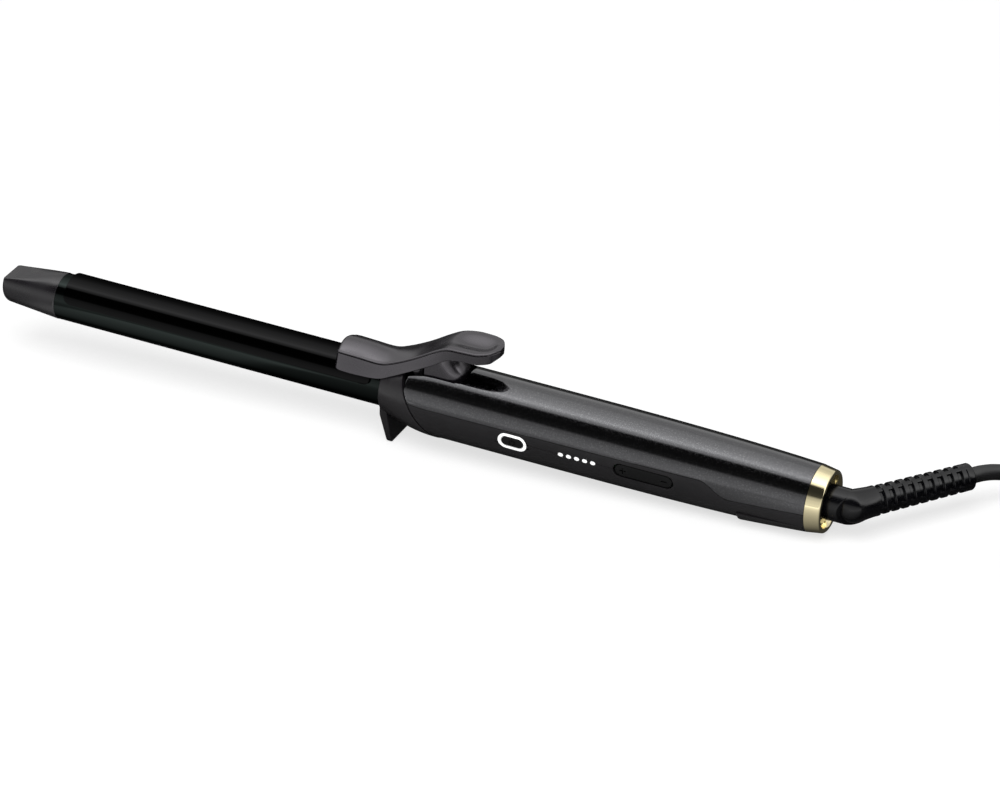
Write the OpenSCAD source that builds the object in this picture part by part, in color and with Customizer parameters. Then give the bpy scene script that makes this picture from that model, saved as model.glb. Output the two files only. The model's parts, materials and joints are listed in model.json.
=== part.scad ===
// Curling iron with a spring clamp, a thumb lever, a rest foot and a swivel cord.
// The long axis of the barrel and handle is "the axis". Stations along it are
// counted from the front face of the collar, towards the cord, and all the pieces
// are drawn about the axis, then set down nose-up on the rest foot and heel pad.

/* [Barrel] */
// Outside diameter of the heated barrel
barrel_d = 19; // [16:0.5:25]
// Length of barrel between the cool tip and the collar
barrel_len = 146; // [110:1:200]
// Wall of the barrel tube
barrel_wall = 1.2; // [0.8:0.1:2]
// How far the barrel's root reaches into the collar
barrel_root = 11; // [8:0.5:12]
// Length of the cool tip in front of the barrel
tip_len = 25.3; // [16:0.1:34]
// Diameter of the cool tip at its end
tip_end_d = 15; // [12:0.2:18]
// Height of the tip's flat facet over the axis, at its end
tip_facet_z = 5; // [2:0.1:6]
// Length of the cool tip's plug inside the barrel
tip_plug = 9; // [5:0.5:15]
// Length of the ceramic heater plate
heater_len = 110; // [70:1:130]
// Thickness of the ceramic heater plate
heater_t = 2.4; // [1.6:0.1:4]

/* [Clamp] */
// Thickness of the clamp plate
clamp_t = 0.8; // [0.6:0.1:1.2]
// Length of the clamp plate
clamp_len = 137.5; // [90:0.5:180]
// Arc of the barrel that the clamp plate covers
clamp_arc = 150; // [120:2:170]
// Corner radius of the clamp plate
clamp_corner = 4; // [1:0.5:7]
// Play between the clamp plate and the barrel
clamp_gap = 0.3; // [0.2:0.05:0.6]
// Gap between the clamp plate's rear edge and the collar
clamp_rear = 4.5; // [3:0.5:8]
// Diameter of the rivets that hold the plate in the lever
rivet_d = 3; // [2:0.5:4]

/* [Thumb lever] */
// Length of the lever's saddle over the clamp plate
saddle_len = 14.8; // [13:0.2:20]
// Height of the saddle's top edges over the axis
saddle_z = 13.4; // [12.6:0.1:14]
// Rise of the saddle's crown over its top edges
crown = 2.4; // [2:0.1:3]
// Height of the thumb pad's rim over the axis
pad_z = 28.4; // [27:0.1:31]
// Station of the thumb pad's rear end
pad_end = 48; // [46:0.2:52]
// Thickness of the lever's edge
lever_edge = 4.8; // [3.6:0.1:6]
// Width of the lever across its top edges
lever_w = 15.8; // [15:0.2:17]
// How far the lever's side walls flare out below its top edges
lever_flare = 1.6; // [1.2:0.1:2.2]
// Width of the thumb pad
pad_w = 18.6; // [16:0.2:22]
// Wall over the hollow inside the lever
lever_wall = 1.8; // [1.4:0.1:2]
// Depth of the dish in the thumb pad
pad_dish = 1; // [0.4:0.1:1.6]
// Station of the hinge pin
pin_x = 14.5; // [12:0.5:17]
// Height of the hinge pin over the axis
pin_z = 15.2; // [14.9:0.1:15.4]
// Diameter of the hinge pin
pin_d = 2.4; // [2:0.1:2.6]
// Width of the lever's spring leg
leg_w = 15.2; // [12:0.2:15.4]
// Station of the spring leg's front face
leg_front = 18.3; // [18:0.1:20]
// Station of the spring leg's rear face
leg_rear = 34.4; // [31:0.1:34.4]
// Height of the spring leg's foot over the axis
leg_z = 10.6; // [9.5:0.1:11.5]
// Diameter of the clamp spring's coil
spring_d = 6; // [4:0.5:7]
// Diameter of the clamp spring's wire
spring_wire = 0.9; // [0.6:0.1:1.2]

/* [Handle] */
// Length from the collar's front face to the end ring
handle_len = 181.4; // [150:0.2:210]
// Largest diameter of the handle
handle_d = 31; // [29:0.2:36]
// Diameter of the handle where it meets the end ring
handle_end_d = 27; // [25:0.2:30]
// Wall of the two handle shells
shell_wall = 2; // [1.6:0.1:2.6]
// Diameter of the collar's front face
collar_front_d = 21.2; // [20.8:0.1:24]
// Length of the bell that widens from the collar to the handle
bell_len = 24; // [20:1:30]
// Station of the collar's rear seam at its top
seam_top = 9.3; // [8.5:0.1:11]
// How far the collar stands proud of the shells
collar_proud = 0.25; // [0:0.05:0.5]
// Shadow gap between the collar and the shells
seam_gap = 0.4; // [0.3:0.05:0.8]
// Height of the shells' parting line at the collar
part_front_z = 1.9; // [0:0.1:4]
// Height of the parting line where it starts to dip
part_mid_z = 3.2; // [1:0.1:4]
// Height of the parting line behind its dip
part_rear_z = -2.3; // [-4:0.1:0]
// Distance from the end ring to where the parting line starts to dip
part_back = 43.4; // [36:0.2:48]
// Length of the dip in the parting line
part_dip_len = 13; // [8:1:18]
// Width of the slot for the spring leg
slot_w = 16.4; // [16.2:0.1:17]
// Station of the slot's rear end
slot_rear = 35.6; // [35.4:0.1:38]
// Thickness of the tongue that the shells push into the collar
tongue_t = 1.2; // [0.8:0.1:1.6]

/* [Feet] */
// Drop of the rest foot's bottom edge below the axis
foot_drop = 21.8; // [19.5:0.1:30]
// Station of the rest foot's bottom edge
foot_x = 4.4; // [3:0.2:8]
// Thickness of the rest foot at its bottom edge
foot_t = 2; // [1.4:0.1:3]
// Thickness of the rest foot where it leaves the collar
foot_top_t = 3.2; // [2.4:0.1:5]
// Width of the rest foot where it leaves the collar
foot_top_w = 18; // [14:0.5:20]
// Width of the rest foot at its bottom edge
foot_bottom_w = 16; // [12:0.5:18]
// Drop of the heel pad's front edge below the axis
heel_drop = 15.05; // [14.9:0.05:15.4]
// Distance from the end ring to the heel pad's front edge
heel_back = 27.4; // [24:0.2:36]
// Length of the heel pad
heel_len = 26.8; // [18:0.2:27]
// Half the arc that the heel pad wraps
heel_arc = 58; // [40:1:64]

/* [Controls] */
// Height of the row of controls over the axis
row_z = -1.6; // [-3:0.1:0]
// Station of the power button
power_x = 60.3; // [54:0.5:66]
// Height of the power button over the axis
power_z = -2.2; // [-3:0.1:-1]
// Length of the light ring round the power button
power_len = 12.2; // [11:0.1:15]
// Height of the light ring round the power button
power_h = 6.9; // [6.5:0.1:8]
// Width of the light ring's band
light_band = 1.1; // [0.8:0.1:1.6]
// Travel of the power button
press_travel = 0.5; // [0.3:0.1:0.8]
// Station of the first lamp
lamp_x = 81; // [78:0.5:84]
// Spacing of the lamps
lamp_pitch = 3.4; // [3:0.1:4]
// Number of lamps
lamp_count = 5; // [3:1:5]
// Length of a lamp's lens
lamp_len = 2.1; // [1.6:0.1:2.6]
// Height of a lamp's lens
lamp_h = 1.6; // [1.2:0.1:2]
// Station of the temperature rocker's middle
rocker_x = 115.7; // [113:0.5:118]
// Length of the recess round the rocker
rocker_len = 25.2; // [20:0.2:27]
// Height of the recess round the rocker
rocker_h = 6; // [5:0.1:7]
// How far the rocker tips each way, in degrees
rocker_tip = 2.5; // [1:0.5:3]
// Thickness of the control board
board_t = 1.6; // [1:0.1:2]
// Width of the control board
board_w = 12; // [10:0.5:13]

/* [End ring and swivel] */
// Length of the end ring
ring_len = 6.2; // [4:0.1:8]
// Diameter of the end ring's lip
ring_end_d = 25.2; // [24:0.1:26.4]
// Depth of the recess in the end ring's face
ring_recess = 2.4; // [1.5:0.1:3]
// Diameter of the swivel's barrel
swivel_d = 14; // [12:0.2:16]
// Length of the swivel's barrel from the end ring's face to the elbow
swivel_len = 9; // [8.5:0.1:15]
// Diameter of the swivel's neck in its bush
neck_d = 11; // [9:0.5:12]
// Diameter of the sleeve behind the elbow
sleeve_d = 12; // [10:0.2:13]
// Rise of the sleeve over the swivel's own axis
elbow_rise = 0.8; // [0:0.1:1]
// Length from the elbow's middle to the strain relief's first rib
sleeve_len = 9.6; // [8.5:0.1:14]
// Turn of the elbow in plan
elbow_turn = 51; // [30:1:70]

/* [Strain relief and cord] */
// Length of the ribbed strain relief
relief_len = 42; // [30:1:60]
// Diameter over the strain relief's first rib
relief_d = 11.6; // [10:0.1:12]
// Diameter over the strain relief's last rib
relief_end_d = 10.8; // [9:0.1:11.6]
// Depth of the grooves between the ribs
groove = 1.1; // [0.6:0.1:1.5]
// Number of ribs in front of the end collar
rib_count = 9; // [6:1:12]
// Diameter of the cord
cord_d = 6.4; // [5.5:0.1:7.5]
// Spread of the coil's turns across its section
coil_w = 19.2; // [16:0.4:26]
// Height of the coil
coil_h = 25.6; // [12:0.4:26]
// Radius of the coil's middle turn
coil_r = 32.8; // [30:0.4:45]
// Width of the plug
plug_w = 26; // [24:0.5:30]
// Length of the plug's body
plug_len = 35; // [30:0.5:40]
// Thickness of the plug
plug_t = 13.7; // [12:0.1:15]
// Diameter of the plug's pins
plug_pin_d = 4; // [4:0.1:4.8]
// Length of the plug's pins
plug_pin_len = 19; // [17:0.5:19]
// Spacing of the plug's pins
plug_pin_gap = 18.6; // [17.5:0.1:19]

/* [Fits] */
// Gap between pieces that seat on each other
seat = 0.1; // [0.05:0.05:0.2]
// Gap round a piece that moves in an opening
play = 0.3; // [0.25:0.05:0.5]
// Radial clearance of a pin or neck in its bore
run = 0.08; // [0.03:0.01:0.1]

/* [Hidden] */
$fn = 64;

// Colours
charcoal = [0.13, 0.13, 0.14];
gloss_black = [0.03, 0.03, 0.035];
graphite = [0.09, 0.09, 0.10];
gold = [0.86, 0.76, 0.52];
steel = [0.72, 0.73, 0.75];
brass = [0.80, 0.65, 0.35];
ceramic = [0.93, 0.92, 0.88];
alloy = [0.78, 0.79, 0.80];
board_green = [0.10, 0.35, 0.20];
lamp_white = [0.97, 0.97, 0.95];
nylon = [0.30, 0.30, 0.32];

big = 60;                                // reach of the cutting shapes
barrel_r = barrel_d / 2;
bore_r = barrel_r - barrel_wall;         // inside of the barrel tube
clamp_in = barrel_r + clamp_gap;
clamp_out = clamp_in + clamp_t;
handle_r = handle_d / 2;
handle_end_r = handle_end_d / 2;
peak_x = 50;                             // station where the handle starts to taper
part_dip = handle_len - part_back;
heel_x = handle_len - heel_back;
ring_end = handle_len + ring_len;

// Resting attitude: nose up, so that the foot and the heel pad share the floor
heel_foot = heel_x - foot_x;
tilt = atan((foot_drop - heel_drop) / heel_foot);

// Handle outline: a bell behind the collar, then a long taper to the end ring
function bell(x) = collar_front_d / 2 + (handle_r - collar_front_d / 2) * sin(90 * min(1, x / bell_len));
function taper(x) = handle_r - (handle_r - handle_end_r)
    * pow(max(0, (x - peak_x) / (handle_len - peak_x)), 3.4);
function skin(x) = x < bell_len ? bell(x) : taper(x);

skin_x = concat([0, 2, 4, 7, 10, 13, 16, 20, bell_len],
    [for (k = [0:0.1:1]) peak_x + (handle_len - peak_x) * k]);

// Height of the resting plane under a station
function floor_z(x) = -foot_drop + (x - foot_x) * tan(tilt);

// Seam of the collar in side view: steep at the top, sweeping back at the bottom
function seam_x(z) = seam_top + 0.24 * pow(max(0, 12 - z), 1.3);

// Parting line of the shells in side view
function part_z(x) = x < part_dip
    ? part_front_z + (part_mid_z - part_front_z) * max(0, x - 15) / (part_dip - 15)
    : x < part_dip + part_dip_len
        ? part_mid_z + (part_rear_z - part_mid_z) * (1 - cos(180 * (x - part_dip) / part_dip_len)) / 2
        : part_rear_z + 1.7 * (x - part_dip - part_dip_len) / (handle_len - part_dip - part_dip_len);

// Smooth curve through chosen points
function curve_at(a, b, c, d, t) = 0.5 * (2 * b + (c - a) * t + (2 * a - 5 * b + 4 * c - d) * t * t
    + (3 * b - a - 3 * c + d) * t * t * t);
function curve(p, steps) = concat([for (i = [0:len(p) - 2], j = [0:steps - 1])
    curve_at(p[max(0, i - 1)], p[i], p[i + 1], p[min(len(p) - 1, i + 2)], j / steps)], [p[len(p) - 1]]);
function backwards(p) = [for (i = [len(p) - 1:-1:0]) p[i]];

// Sets the iron down on its foot and heel, with the foot's edge at the origin
module stand() {
    rotate([0, tilt, 0]) translate([-foot_x, 0, foot_drop]) children();
}

// Cylinder along the axis between two stations
module rod(x1, x2, r) {
    translate([x1, 0, 0]) rotate([0, 90, 0]) cylinder(h = x2 - x1, r = r);
}

// Solid of revolution about the axis, from [station, radius] points
module turned(p) {
    rotate([0, 90, 0]) rotate_extrude() polygon([for (q = p) [q[1], q[0]]]);
}

// Side view outline, given as [station, height] points, pushed across the handle
module side_cut(p, w = 2 * big) {
    translate([0, w / 2, 0]) rotate([90, 0, 0]) linear_extrude(height = w) polygon(p);
}

// Upright stadium on the near side, from depth y1 to y2
module stadium(x, z, l, h, y1, y2) {
    translate([x, y2, z]) rotate([90, 0, 0]) linear_extrude(height = y2 - y1) union() {
        square([l - h, h], center = true);
        for (s = [-1, 1]) translate([s * (l - h) / 2, 0]) circle(d = h);
    }
}

// Body of the handle with a skin moved in or out
module handle_body(inset, x1 = 0, x2 = handle_len) {
    xs = concat([x1], [for (x = skin_x) if (x > x1 + 0.5 && x < x2 - 0.5) x], [x2]);
    turned(concat([[x1, 0]], [for (x = xs) [x, skin(x) - inset]], [[x2, 0]]));
}

// Everything in front of the collar's seam
module collar_side(shift) {
    side_cut(concat([[-big, big], [seam_top + shift, big]],
        [for (z = [12, 8, 4, 0, -5, -10, -17, -24]) [seam_x(z) + shift, z]],
        [[seam_x(-24) + shift, -big], [-big, -big]]));
}

// Everything over the parting line
module upper_side(shift) {
    far = handle_len + big;
    xs = concat([-big], [for (i = [0:6]) part_dip + part_dip_len * i / 6], [handle_len, far]);
    side_cut(concat([for (x = xs) [x, part_z(x) + shift]], [[far, big], [-big, big]]));
}

module barrel_tube() {
    color(gloss_black) stand() difference() {
        rod(-barrel_len, barrel_root, barrel_r);
        rod(-barrel_len - 1, barrel_root + 1, bore_r);
    }
}

module cool_tip() {
    tip_x = -barrel_len - tip_len;
    tip_r = tip_end_d / 2;
    plug_x = -barrel_len + tip_plug;
    plug_r = bore_r - seat;
    rim = 3;
    color(charcoal) stand() difference() {
        turned(concat([[tip_x, 0]],
            [for (a = [0:22.5:90]) [tip_x + rim * (1 - cos(a)), tip_r - rim * (1 - sin(a))]],
            [[-barrel_len - 1, barrel_r + 0.1], [-barrel_len, barrel_r], [-barrel_len, plug_r],
            [plug_x, plug_r - 0.2], [plug_x, 0]]));
        side_cut(concat([for (t = [-0.1, 0, 0.3, 0.5, 0.65, 0.8, 0.92]) [tip_x + t * tip_len,
                tip_facet_z + (barrel_r - tip_facet_z) * pow(max(0, t), 2.4)]],
            [[-barrel_len - 1, barrel_r + 1], [-barrel_len - 1, big], [tip_x - 3, big]]));
    }
}

heater_x = -barrel_len + tip_plug + 6;   // front end of the heater plate
heater_w = barrel_d * 0.42;

module heater_plate() {
    color(ceramic) stand() translate([heater_x, -heater_w / 2, -heater_t / 2])
        cube([heater_len, heater_w, heater_t]);
}

fuse_channel = 4.4;
fuse_z = 4;                              // floor of the channel over the axis

// Half-round aluminium bar between the heater plate and the barrel
module heat_spreader(side) {
    start = heater_x - 2;
    length = heater_len + 4;
    intersection() {
        difference() {
            rod(start, start + length, bore_r - seat);
            // channel along the bar, for the thermal fuse and its wires
            translate([start - 1, -fuse_channel / 2, side > 0 ? fuse_z : -fuse_z - 2.4])
                cube([length + 2, fuse_channel, 2.4]);
        }
        translate([start - 1, -big / 2, side > 0 ? heater_t / 2 : -big - heater_t / 2])
            cube([length + 2, big, big]);
    }
}

module heat_spreader_upper() {
    color(alloy) stand() heat_spreader(1);
}

module heat_spreader_lower() {
    color(alloy) stand() heat_spreader(-1);
}

module thermal_fuse() {
    fuse_r = 1.1;
    fuse_x = heater_x + 0.65 * heater_len;
    color(steel) stand() translate([fuse_x, 0, fuse_z + fuse_r + seat]) {
        rod(0, 10, fuse_r);
        rod(-12, 22, 0.4);
    }
}

module barrel_bush() {
    bush_start = 2.2;
    bush_end = seam_top - 0.5;
    color(ceramic) stand() difference() {
        turned(concat([[bush_start, 0]],
            [for (x = [bush_start, 4, 7, bush_end]) [x, max(skin(x) - shell_wall - seat, barrel_r + 0.4)]],
            [[bush_end, 0]]));
        rod(0, barrel_root + 5, barrel_r + seat / 2);
    }
}

module front_collar() {
    cavity_r = barrel_r + 0.5;
    color(charcoal) stand() {
        difference() {
            intersection() {
                handle_body(-collar_proud, 0, 44);
                collar_side(0);
            }
            rod(-1, 3, barrel_r + clamp_gap / 2);
            turned(concat([[2, 0], [2, cavity_r]],
                [for (x = [4, 7, 10, 13, 16, 20, bell_len]) [x, max(cavity_r, skin(x) - shell_wall)]],
                [[46, handle_r - shell_wall], [46, 0]]));
        }
        rest_foot();
    }
}

// Leaning plate under the collar, thinner towards the edge that it stands on
module rest_foot() {
    corner = 1.8;
    edge = foot_t / 2;
    near = concat([[0, 0]],
        [for (a = [-90:30:0]) [foot_bottom_w / 2 - corner * (1 - cos(a)), corner * (1 + sin(a))]],
        [[foot_top_w / 2, foot_drop]]);
    difference() {
        intersection() {
            translate([-1, 0, -foot_drop]) rotate([90, 0, 90]) linear_extrude(height = big)
                polygon(concat(near, [for (q = backwards(near)) if (q[0] > 0) [-q[0], q[1]]]));
            side_cut([[0, -5], [0, -collar_front_d / 2 + 0.6], [foot_x - edge, floor_z(foot_x - edge)],
                [foot_x + edge, floor_z(foot_x + edge)], [foot_top_t, -9], [foot_top_t, -5]]);
        }
        handle_body(0.6, -0.01, bell_len);
    }
}

lap_x = barrel_root + 1;                 // front end of the shells' tongue
lap_end = 36;                            // where the tongue runs out behind the collar

// Both shells together: a thin wall, with a tongue in front that reaches into the collar
module shell_body() {
    difference() {
        handle_body(0, lap_x);
        handle_body(shell_wall + tongue_t, lap_x - 1, lap_end);
        handle_body(shell_wall, lap_end - 0.01, handle_len + 1);
        difference() {
            collar_side(seam_gap);
            handle_body(shell_wall + seat, 0, lap_end + 4);
        }
    }
}

module upper_shell() {
    color(gloss_black) stand() difference() {
        intersection() {
            union() {
                shell_body();
                screw_bosses(0, big);
            }
            upper_side(0.05);
        }
        leg_slot(0);
        screw_row(1.45, -big, screw_top + 1);
    }
}

leg_corner = 4;                          // plan radius of the spring leg's rear corners

// Plan outline from station x1 to x2, with rounded rear corners
module round_backed(x1, x2, w, r) {
    translate([x1, -w / 2]) square([x2 - r - x1, w]);
    translate([x1, r - w / 2]) square([x2 - x1, w - 2 * r]);
    for (s = [-1, 1]) translate([x2 - r, s * (w / 2 - r)]) circle(r = r);
}

// Slot in the top of the shell for the spring leg and the hinge ears
module leg_slot(inset, start = 0) {
    linear_extrude(height = big) round_backed(start, slot_rear - inset, slot_w - 2 * inset, leg_corner + play - inset);
}

module lower_shell() {
    color(graphite) stand() difference() {
        union() {
            difference() {
                union() {
                    shell_body();
                    screw_bosses(-big, 0);
                    board_posts();
                }
                upper_side(-0.05);
                stadium(power_x, power_z, power_len + 2 * seat, power_h + 2 * seat, -big / 2, -12);
                lamp_row(seat, -big / 2, -12);
                stadium(rocker_x, row_z, rocker_len, rocker_h, -big / 2, -12);
                heel_seat();
            }
            rocker_lugs();
        }
        screw_row(1.6, -big, 0);
        screw_row(head_r + 0.2, -big, head_z + head_t);
        translate([rocker_x, pivot_y, row_z - 6]) cylinder(h = 12, r = pivot_r + run / 2);
    }
}

board_y = -9.2;                          // outer face of the control board
board_x1 = power_x - 10;
board_x2 = rocker_x + 16;
board_z = [row_z - board_w / 2 + 1.8, row_z + board_w / 2 - 3.6];
post_r = 1.7;

// Posts that carry the control board, each with a peg through the board
module board_posts() {
    for (x = [board_x1 + 3, board_x2 - 3], z = board_z) {
        intersection() {
            translate([x, board_y - seat, z]) rotate([90, 0, 0]) cylinder(h = 8, r = post_r);
            handle_body(shell_wall / 2);
        }
        translate([x, board_y + board_t + 0.5, z]) rotate([90, 0, 0]) cylinder(h = board_t + 2, r = 0.9);
    }
}

pivot_y = -11.2;                         // depth of the rocker's pivot
pivot_half = 4.1;                        // half the length of the pivot
pivot_r = 0.6;
lug_in = rocker_h / 2 - 0.1;             // from the rocker's middle to the lugs

// Lugs behind the rocker's opening that carry its pivot
module rocker_lugs() {
    for (s = [0, 1]) intersection() {
        translate([rocker_x - 1.6, -big, row_z]) mirror([0, 0, s]) translate([0, 0, lug_in])
            cube([3.2, big + pivot_y + 1.5, 1.3]);
        handle_body(shell_wall / 2);
    }
}

// Screws that pull the shells together, one each side of the swivel
screw_x = heel_x + 6;
screw_y = 8;
screw_top = 4;
boss_r = 2.8;
head_r = 2.2;
head_t = 1.5;
head_z = -8.5;                           // underside of the screw heads

module screw_row(r, z1, z2) {
    for (s = [-1, 1]) translate([screw_x, s * screw_y, z1]) cylinder(h = z2 - z1, r = r);
}

module screw_bosses(z1, z2) {
    intersection() {
        screw_row(boss_r, z1, z2);
        handle_body(shell_wall / 2);
    }
}

module lamp_row(grow, y1, y2) {
    for (i = [0:lamp_count - 1])
        stadium(lamp_x + i * lamp_pitch, row_z, lamp_len + 2 * grow, lamp_h + 2 * grow, y1, y2);
}

heel_depth = 1.1;                        // how deep the heel pad sits in the shell
function heel_skin(x) = skin(x) + 0.95 * (1 - (x - heel_x) / heel_len);

module heel_wedge(grow) {
    a = heel_arc + grow;
    rotate([0, 90, 0]) linear_extrude(height = heel_x + heel_len + grow / 4) polygon([[0, 0],
        for (k = [-1:0.25:1]) big * [cos(a * k), sin(a * k)]]);
}

module heel_seat() {
    intersection() {
        difference() {
            rod(heel_x - seat, heel_x + heel_len + seat, handle_r + 2);
            handle_body(heel_depth, heel_x - 4);
        }
        heel_wedge(0.4);
    }
}

module heel_pad() {
    heel_end = heel_x + heel_len;
    color(graphite) stand() intersection() {
        difference() {
            turned(concat([[heel_x, 0]],
                [for (x = [heel_x:heel_len / 4:heel_end]) [x, heel_skin(x)]], [[heel_end, 0]]));
            handle_body(heel_depth - seat, heel_x - 4);
        }
        heel_wedge(0);
        // flat underneath, where the iron stands on it
        side_cut([[heel_x - 2, 0], [heel_end + 2, 0], [heel_end + 2, floor_z(heel_end + 2)],
            [heel_x - 2, floor_z(heel_x - 2)]]);
    }
}

// Their heads are hidden under the heel pad
module shell_screws() {
    color(steel) stand() difference() {
        union() {
            screw_row(1.4, head_z, screw_top);
            screw_row(head_r, head_z, head_z + head_t);
        }
        for (s = [-1, 1], a = [45, 135]) translate([screw_x, s * screw_y, head_z]) rotate([0, 0, a])
            cube([2.6, 0.6, 1.4], center = true);
    }
}

ring_bore = handle_end_r - shell_wall - seat - 2.2;   // inside of the ring's spigot

module end_ring() {
    spigot_r = handle_end_r - shell_wall - seat;
    lip_r = ring_end_d / 2;
    color(gold) stand() difference() {
        turned([[handle_len - 5, 0], [handle_len - 5, spigot_r - 0.6], [handle_len, spigot_r],
            [handle_len, handle_end_r], [ring_end - 0.9, lip_r], [ring_end - 0.3, lip_r - 0.4],
            [ring_end, lip_r - 1], [ring_end, lip_r - 1.7], [ring_end - 0.6, lip_r - 2.1],
            [ring_end - ring_recess, lip_r - 2.6], [ring_end - ring_recess, 0]]);
        rod(handle_len - 6, ring_end + 1, swivel_d / 2 + play);
        rod(handle_len - 6, handle_len - 1, ring_bore);
    }
}

module control_board() {
    color(board_green) stand() difference() {
        translate([board_x1, board_y, row_z - board_w / 2]) cube([board_x2 - board_x1, board_t, board_w]);
        for (x = [board_x1 + 3, board_x2 - 3], z = board_z) translate([x, 0, z])
            rotate([90, 0, 0]) cylinder(h = big, r = 1);
    }
}

switch_t = 2.2;                          // height of a key switch over the board
key_y = board_y - switch_t - 0.7;        // outer end of a key's plunger
rocker_arm = rocker_len / 2 - 5;         // from the rocker's middle to each key

module key_switches() {
    body = 6;
    places = [[power_x, power_z], [rocker_x - rocker_arm, row_z], [rocker_x + rocker_arm, row_z]];
    color(steel) stand() for (at = places)
        translate([at[0], board_y - switch_t, at[1]]) {
            translate([-body / 2, 0, -body / 2]) cube([body, switch_t, body]);
            translate([0, 0.1, 0]) rotate([90, 0, 0]) cylinder(h = 0.8, r = 1.6);
        }
}

module lamp_lenses() {
    color(lamp_white) stand() intersection() {
        lamp_row(0, -big / 2, board_y - 0.1);
        handle_body(0.05);
    }
}

module light_ring() {
    color(lamp_white) stand() intersection() {
        difference() {
            stadium(power_x, power_z, power_len, power_h, -big / 2, -12);
            stadium(power_x, power_z, power_len - 2 * light_band, power_h - 2 * light_band, -big, big);
        }
        handle_body(0.05);
    }
}

module power_button() {
    cap_l = power_len - 2 * light_band - 2 * play;
    cap_h = power_h - 2 * light_band - 2 * play;
    stem_y = key_y - press_travel - seat;
    color(gloss_black) stand() intersection() {
        union() {
            stadium(power_x, power_z, cap_l, cap_h, -big / 2, stem_y - 0.6);
            translate([power_x, stem_y, power_z]) rotate([90, 0, 0]) cylinder(h = 1.2, r = 1.4);
        }
        handle_body(0.1);
    }
}

module rocker_pivot() {
    color(steel) stand() translate([rocker_x, pivot_y, row_z - pivot_half])
        cylinder(h = 2 * pivot_half, r = pivot_r);
}

module temperature_rocker() {
    hub = lug_in - play;
    stem_y = key_y - rocker_arm * sin(rocker_tip) - seat;
    color(graphite) stand() difference() {
        intersection() {
            union() {
                stadium(rocker_x, row_z, rocker_len - 2 * play - 0.6, rocker_h - 2 * play, -big / 2, -13);
                translate([rocker_x, pivot_y, row_z - hub]) cylinder(h = 2 * hub, r = 1.5);
                translate([rocker_x - 1.2, -13.2, row_z - hub]) cube([2.4, 13.2 + pivot_y, 2 * hub]);
                for (s = [-1, 1]) translate([rocker_x + s * rocker_arm, stem_y, row_z])
                    rotate([90, 0, 0]) cylinder(h = 1, r = 1.2);
            }
            handle_body(0.35);
        }
        translate([rocker_x, pivot_y, row_z - 6]) cylinder(h = 12, r = pivot_r + run);
    }
}

// Moulded chassis under the slot: hinge ears in front, a cup for the clamp spring behind
cup_w = slot_w + 3;
cup_floor = -1;
cup_front = leg_front - 1.9;             // inside of the cup's front wall
cup_wall = 1.6;
ear_out = lever_w / 2 - lever_wall - play - 0.9;
ear_t = 2;
ear_r = pin_d / 2 + 0.8;
spring_x = (leg_front + leg_rear) / 2 - 0.5;

module hinge_bracket() {
    front = cup_front - cup_wall;
    color(nylon) stand() difference() {
        union() {
            difference() {
                intersection() {
                    translate([front, -cup_w / 2, cup_floor - 2]) cube([slot_rear + 3 - front, cup_w, big]);
                    handle_body(shell_wall + tongue_t + seat, 5);
                }
                translate([0, 0, cup_floor]) leg_slot(0.2, cup_front);
            }
            // spigot inside the clamp spring
            translate([spring_x, 0, cup_floor - 1])
                cylinder(h = 3, r = (spring_d - spring_wire) / 2 - play);
            for (s = [0, 1]) mirror([0, s, 0]) translate([0, ear_out, 0]) rotate([90, 0, 0])
                linear_extrude(height = ear_t) union() {
                    translate([pin_x, pin_z]) circle(r = ear_r);
                    polygon([[pin_x - ear_r, pin_z], [pin_x - ear_r, barrel_root], [cup_front - 0.1, 4],
                        [cup_front - 0.1, 13.5], [pin_x + ear_r, pin_z]]);
                }
        }
        translate([pin_x, 0, pin_z]) rotate([90, 0, 0]) cylinder(h = big, r = pin_d / 2 + run, center = true);
    }
}

pin_near = -lever_w / 2 - 0.2;           // blind end of the pin, in the near side wall
pin_far = lever_w / 2 + 0.5;             // end where the pin goes in

module hinge_pin() {
    color(steel) stand() translate([pin_x, pin_far, pin_z]) rotate([90, 0, 0])
        cylinder(h = pin_far - pin_near, d = pin_d);
}

module clamp_plate() {
    rear = -clamp_rear;
    front = rear - clamp_len;
    low_z = clamp_out * sin((180 - clamp_arc) / 2);
    rear_corner = clamp_corner / 2;
    color(gloss_black) stand() intersection() {
        difference() {
            rod(front, rear, clamp_out);
            rod(front - 1, rear + 1, clamp_in);
            rivet_holes(0.03);
        }
        // side view, with its lower corners rounded
        rotate([90, 0, 0]) linear_extrude(height = big, center = true) union() {
            translate([front - 1, low_z + clamp_corner]) square([clamp_len + 2, big]);
            translate([front + clamp_corner, low_z]) square([clamp_len - clamp_corner - rear_corner, big]);
            translate([front + clamp_corner, low_z + clamp_corner]) circle(r = clamp_corner);
            translate([rear - rear_corner, low_z + rear_corner]) circle(r = rear_corner);
            translate([rear - rear_corner, low_z + rear_corner]) square([rear_corner, clamp_corner]);
        }
    }
}

rivet_x = [-clamp_rear - 3, -clamp_rear - 10.5];
module rivet_holes(grow) {
    for (x = rivet_x) translate([x, 0, 0]) cylinder(h = saddle_z + 1, d = rivet_d + 2 * grow);
}

module clamp_rivets() {
    color(steel) stand() difference() {
        rivet_holes(0);
        rod(-big, 0, clamp_in + 0.05);
    }
}

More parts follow.
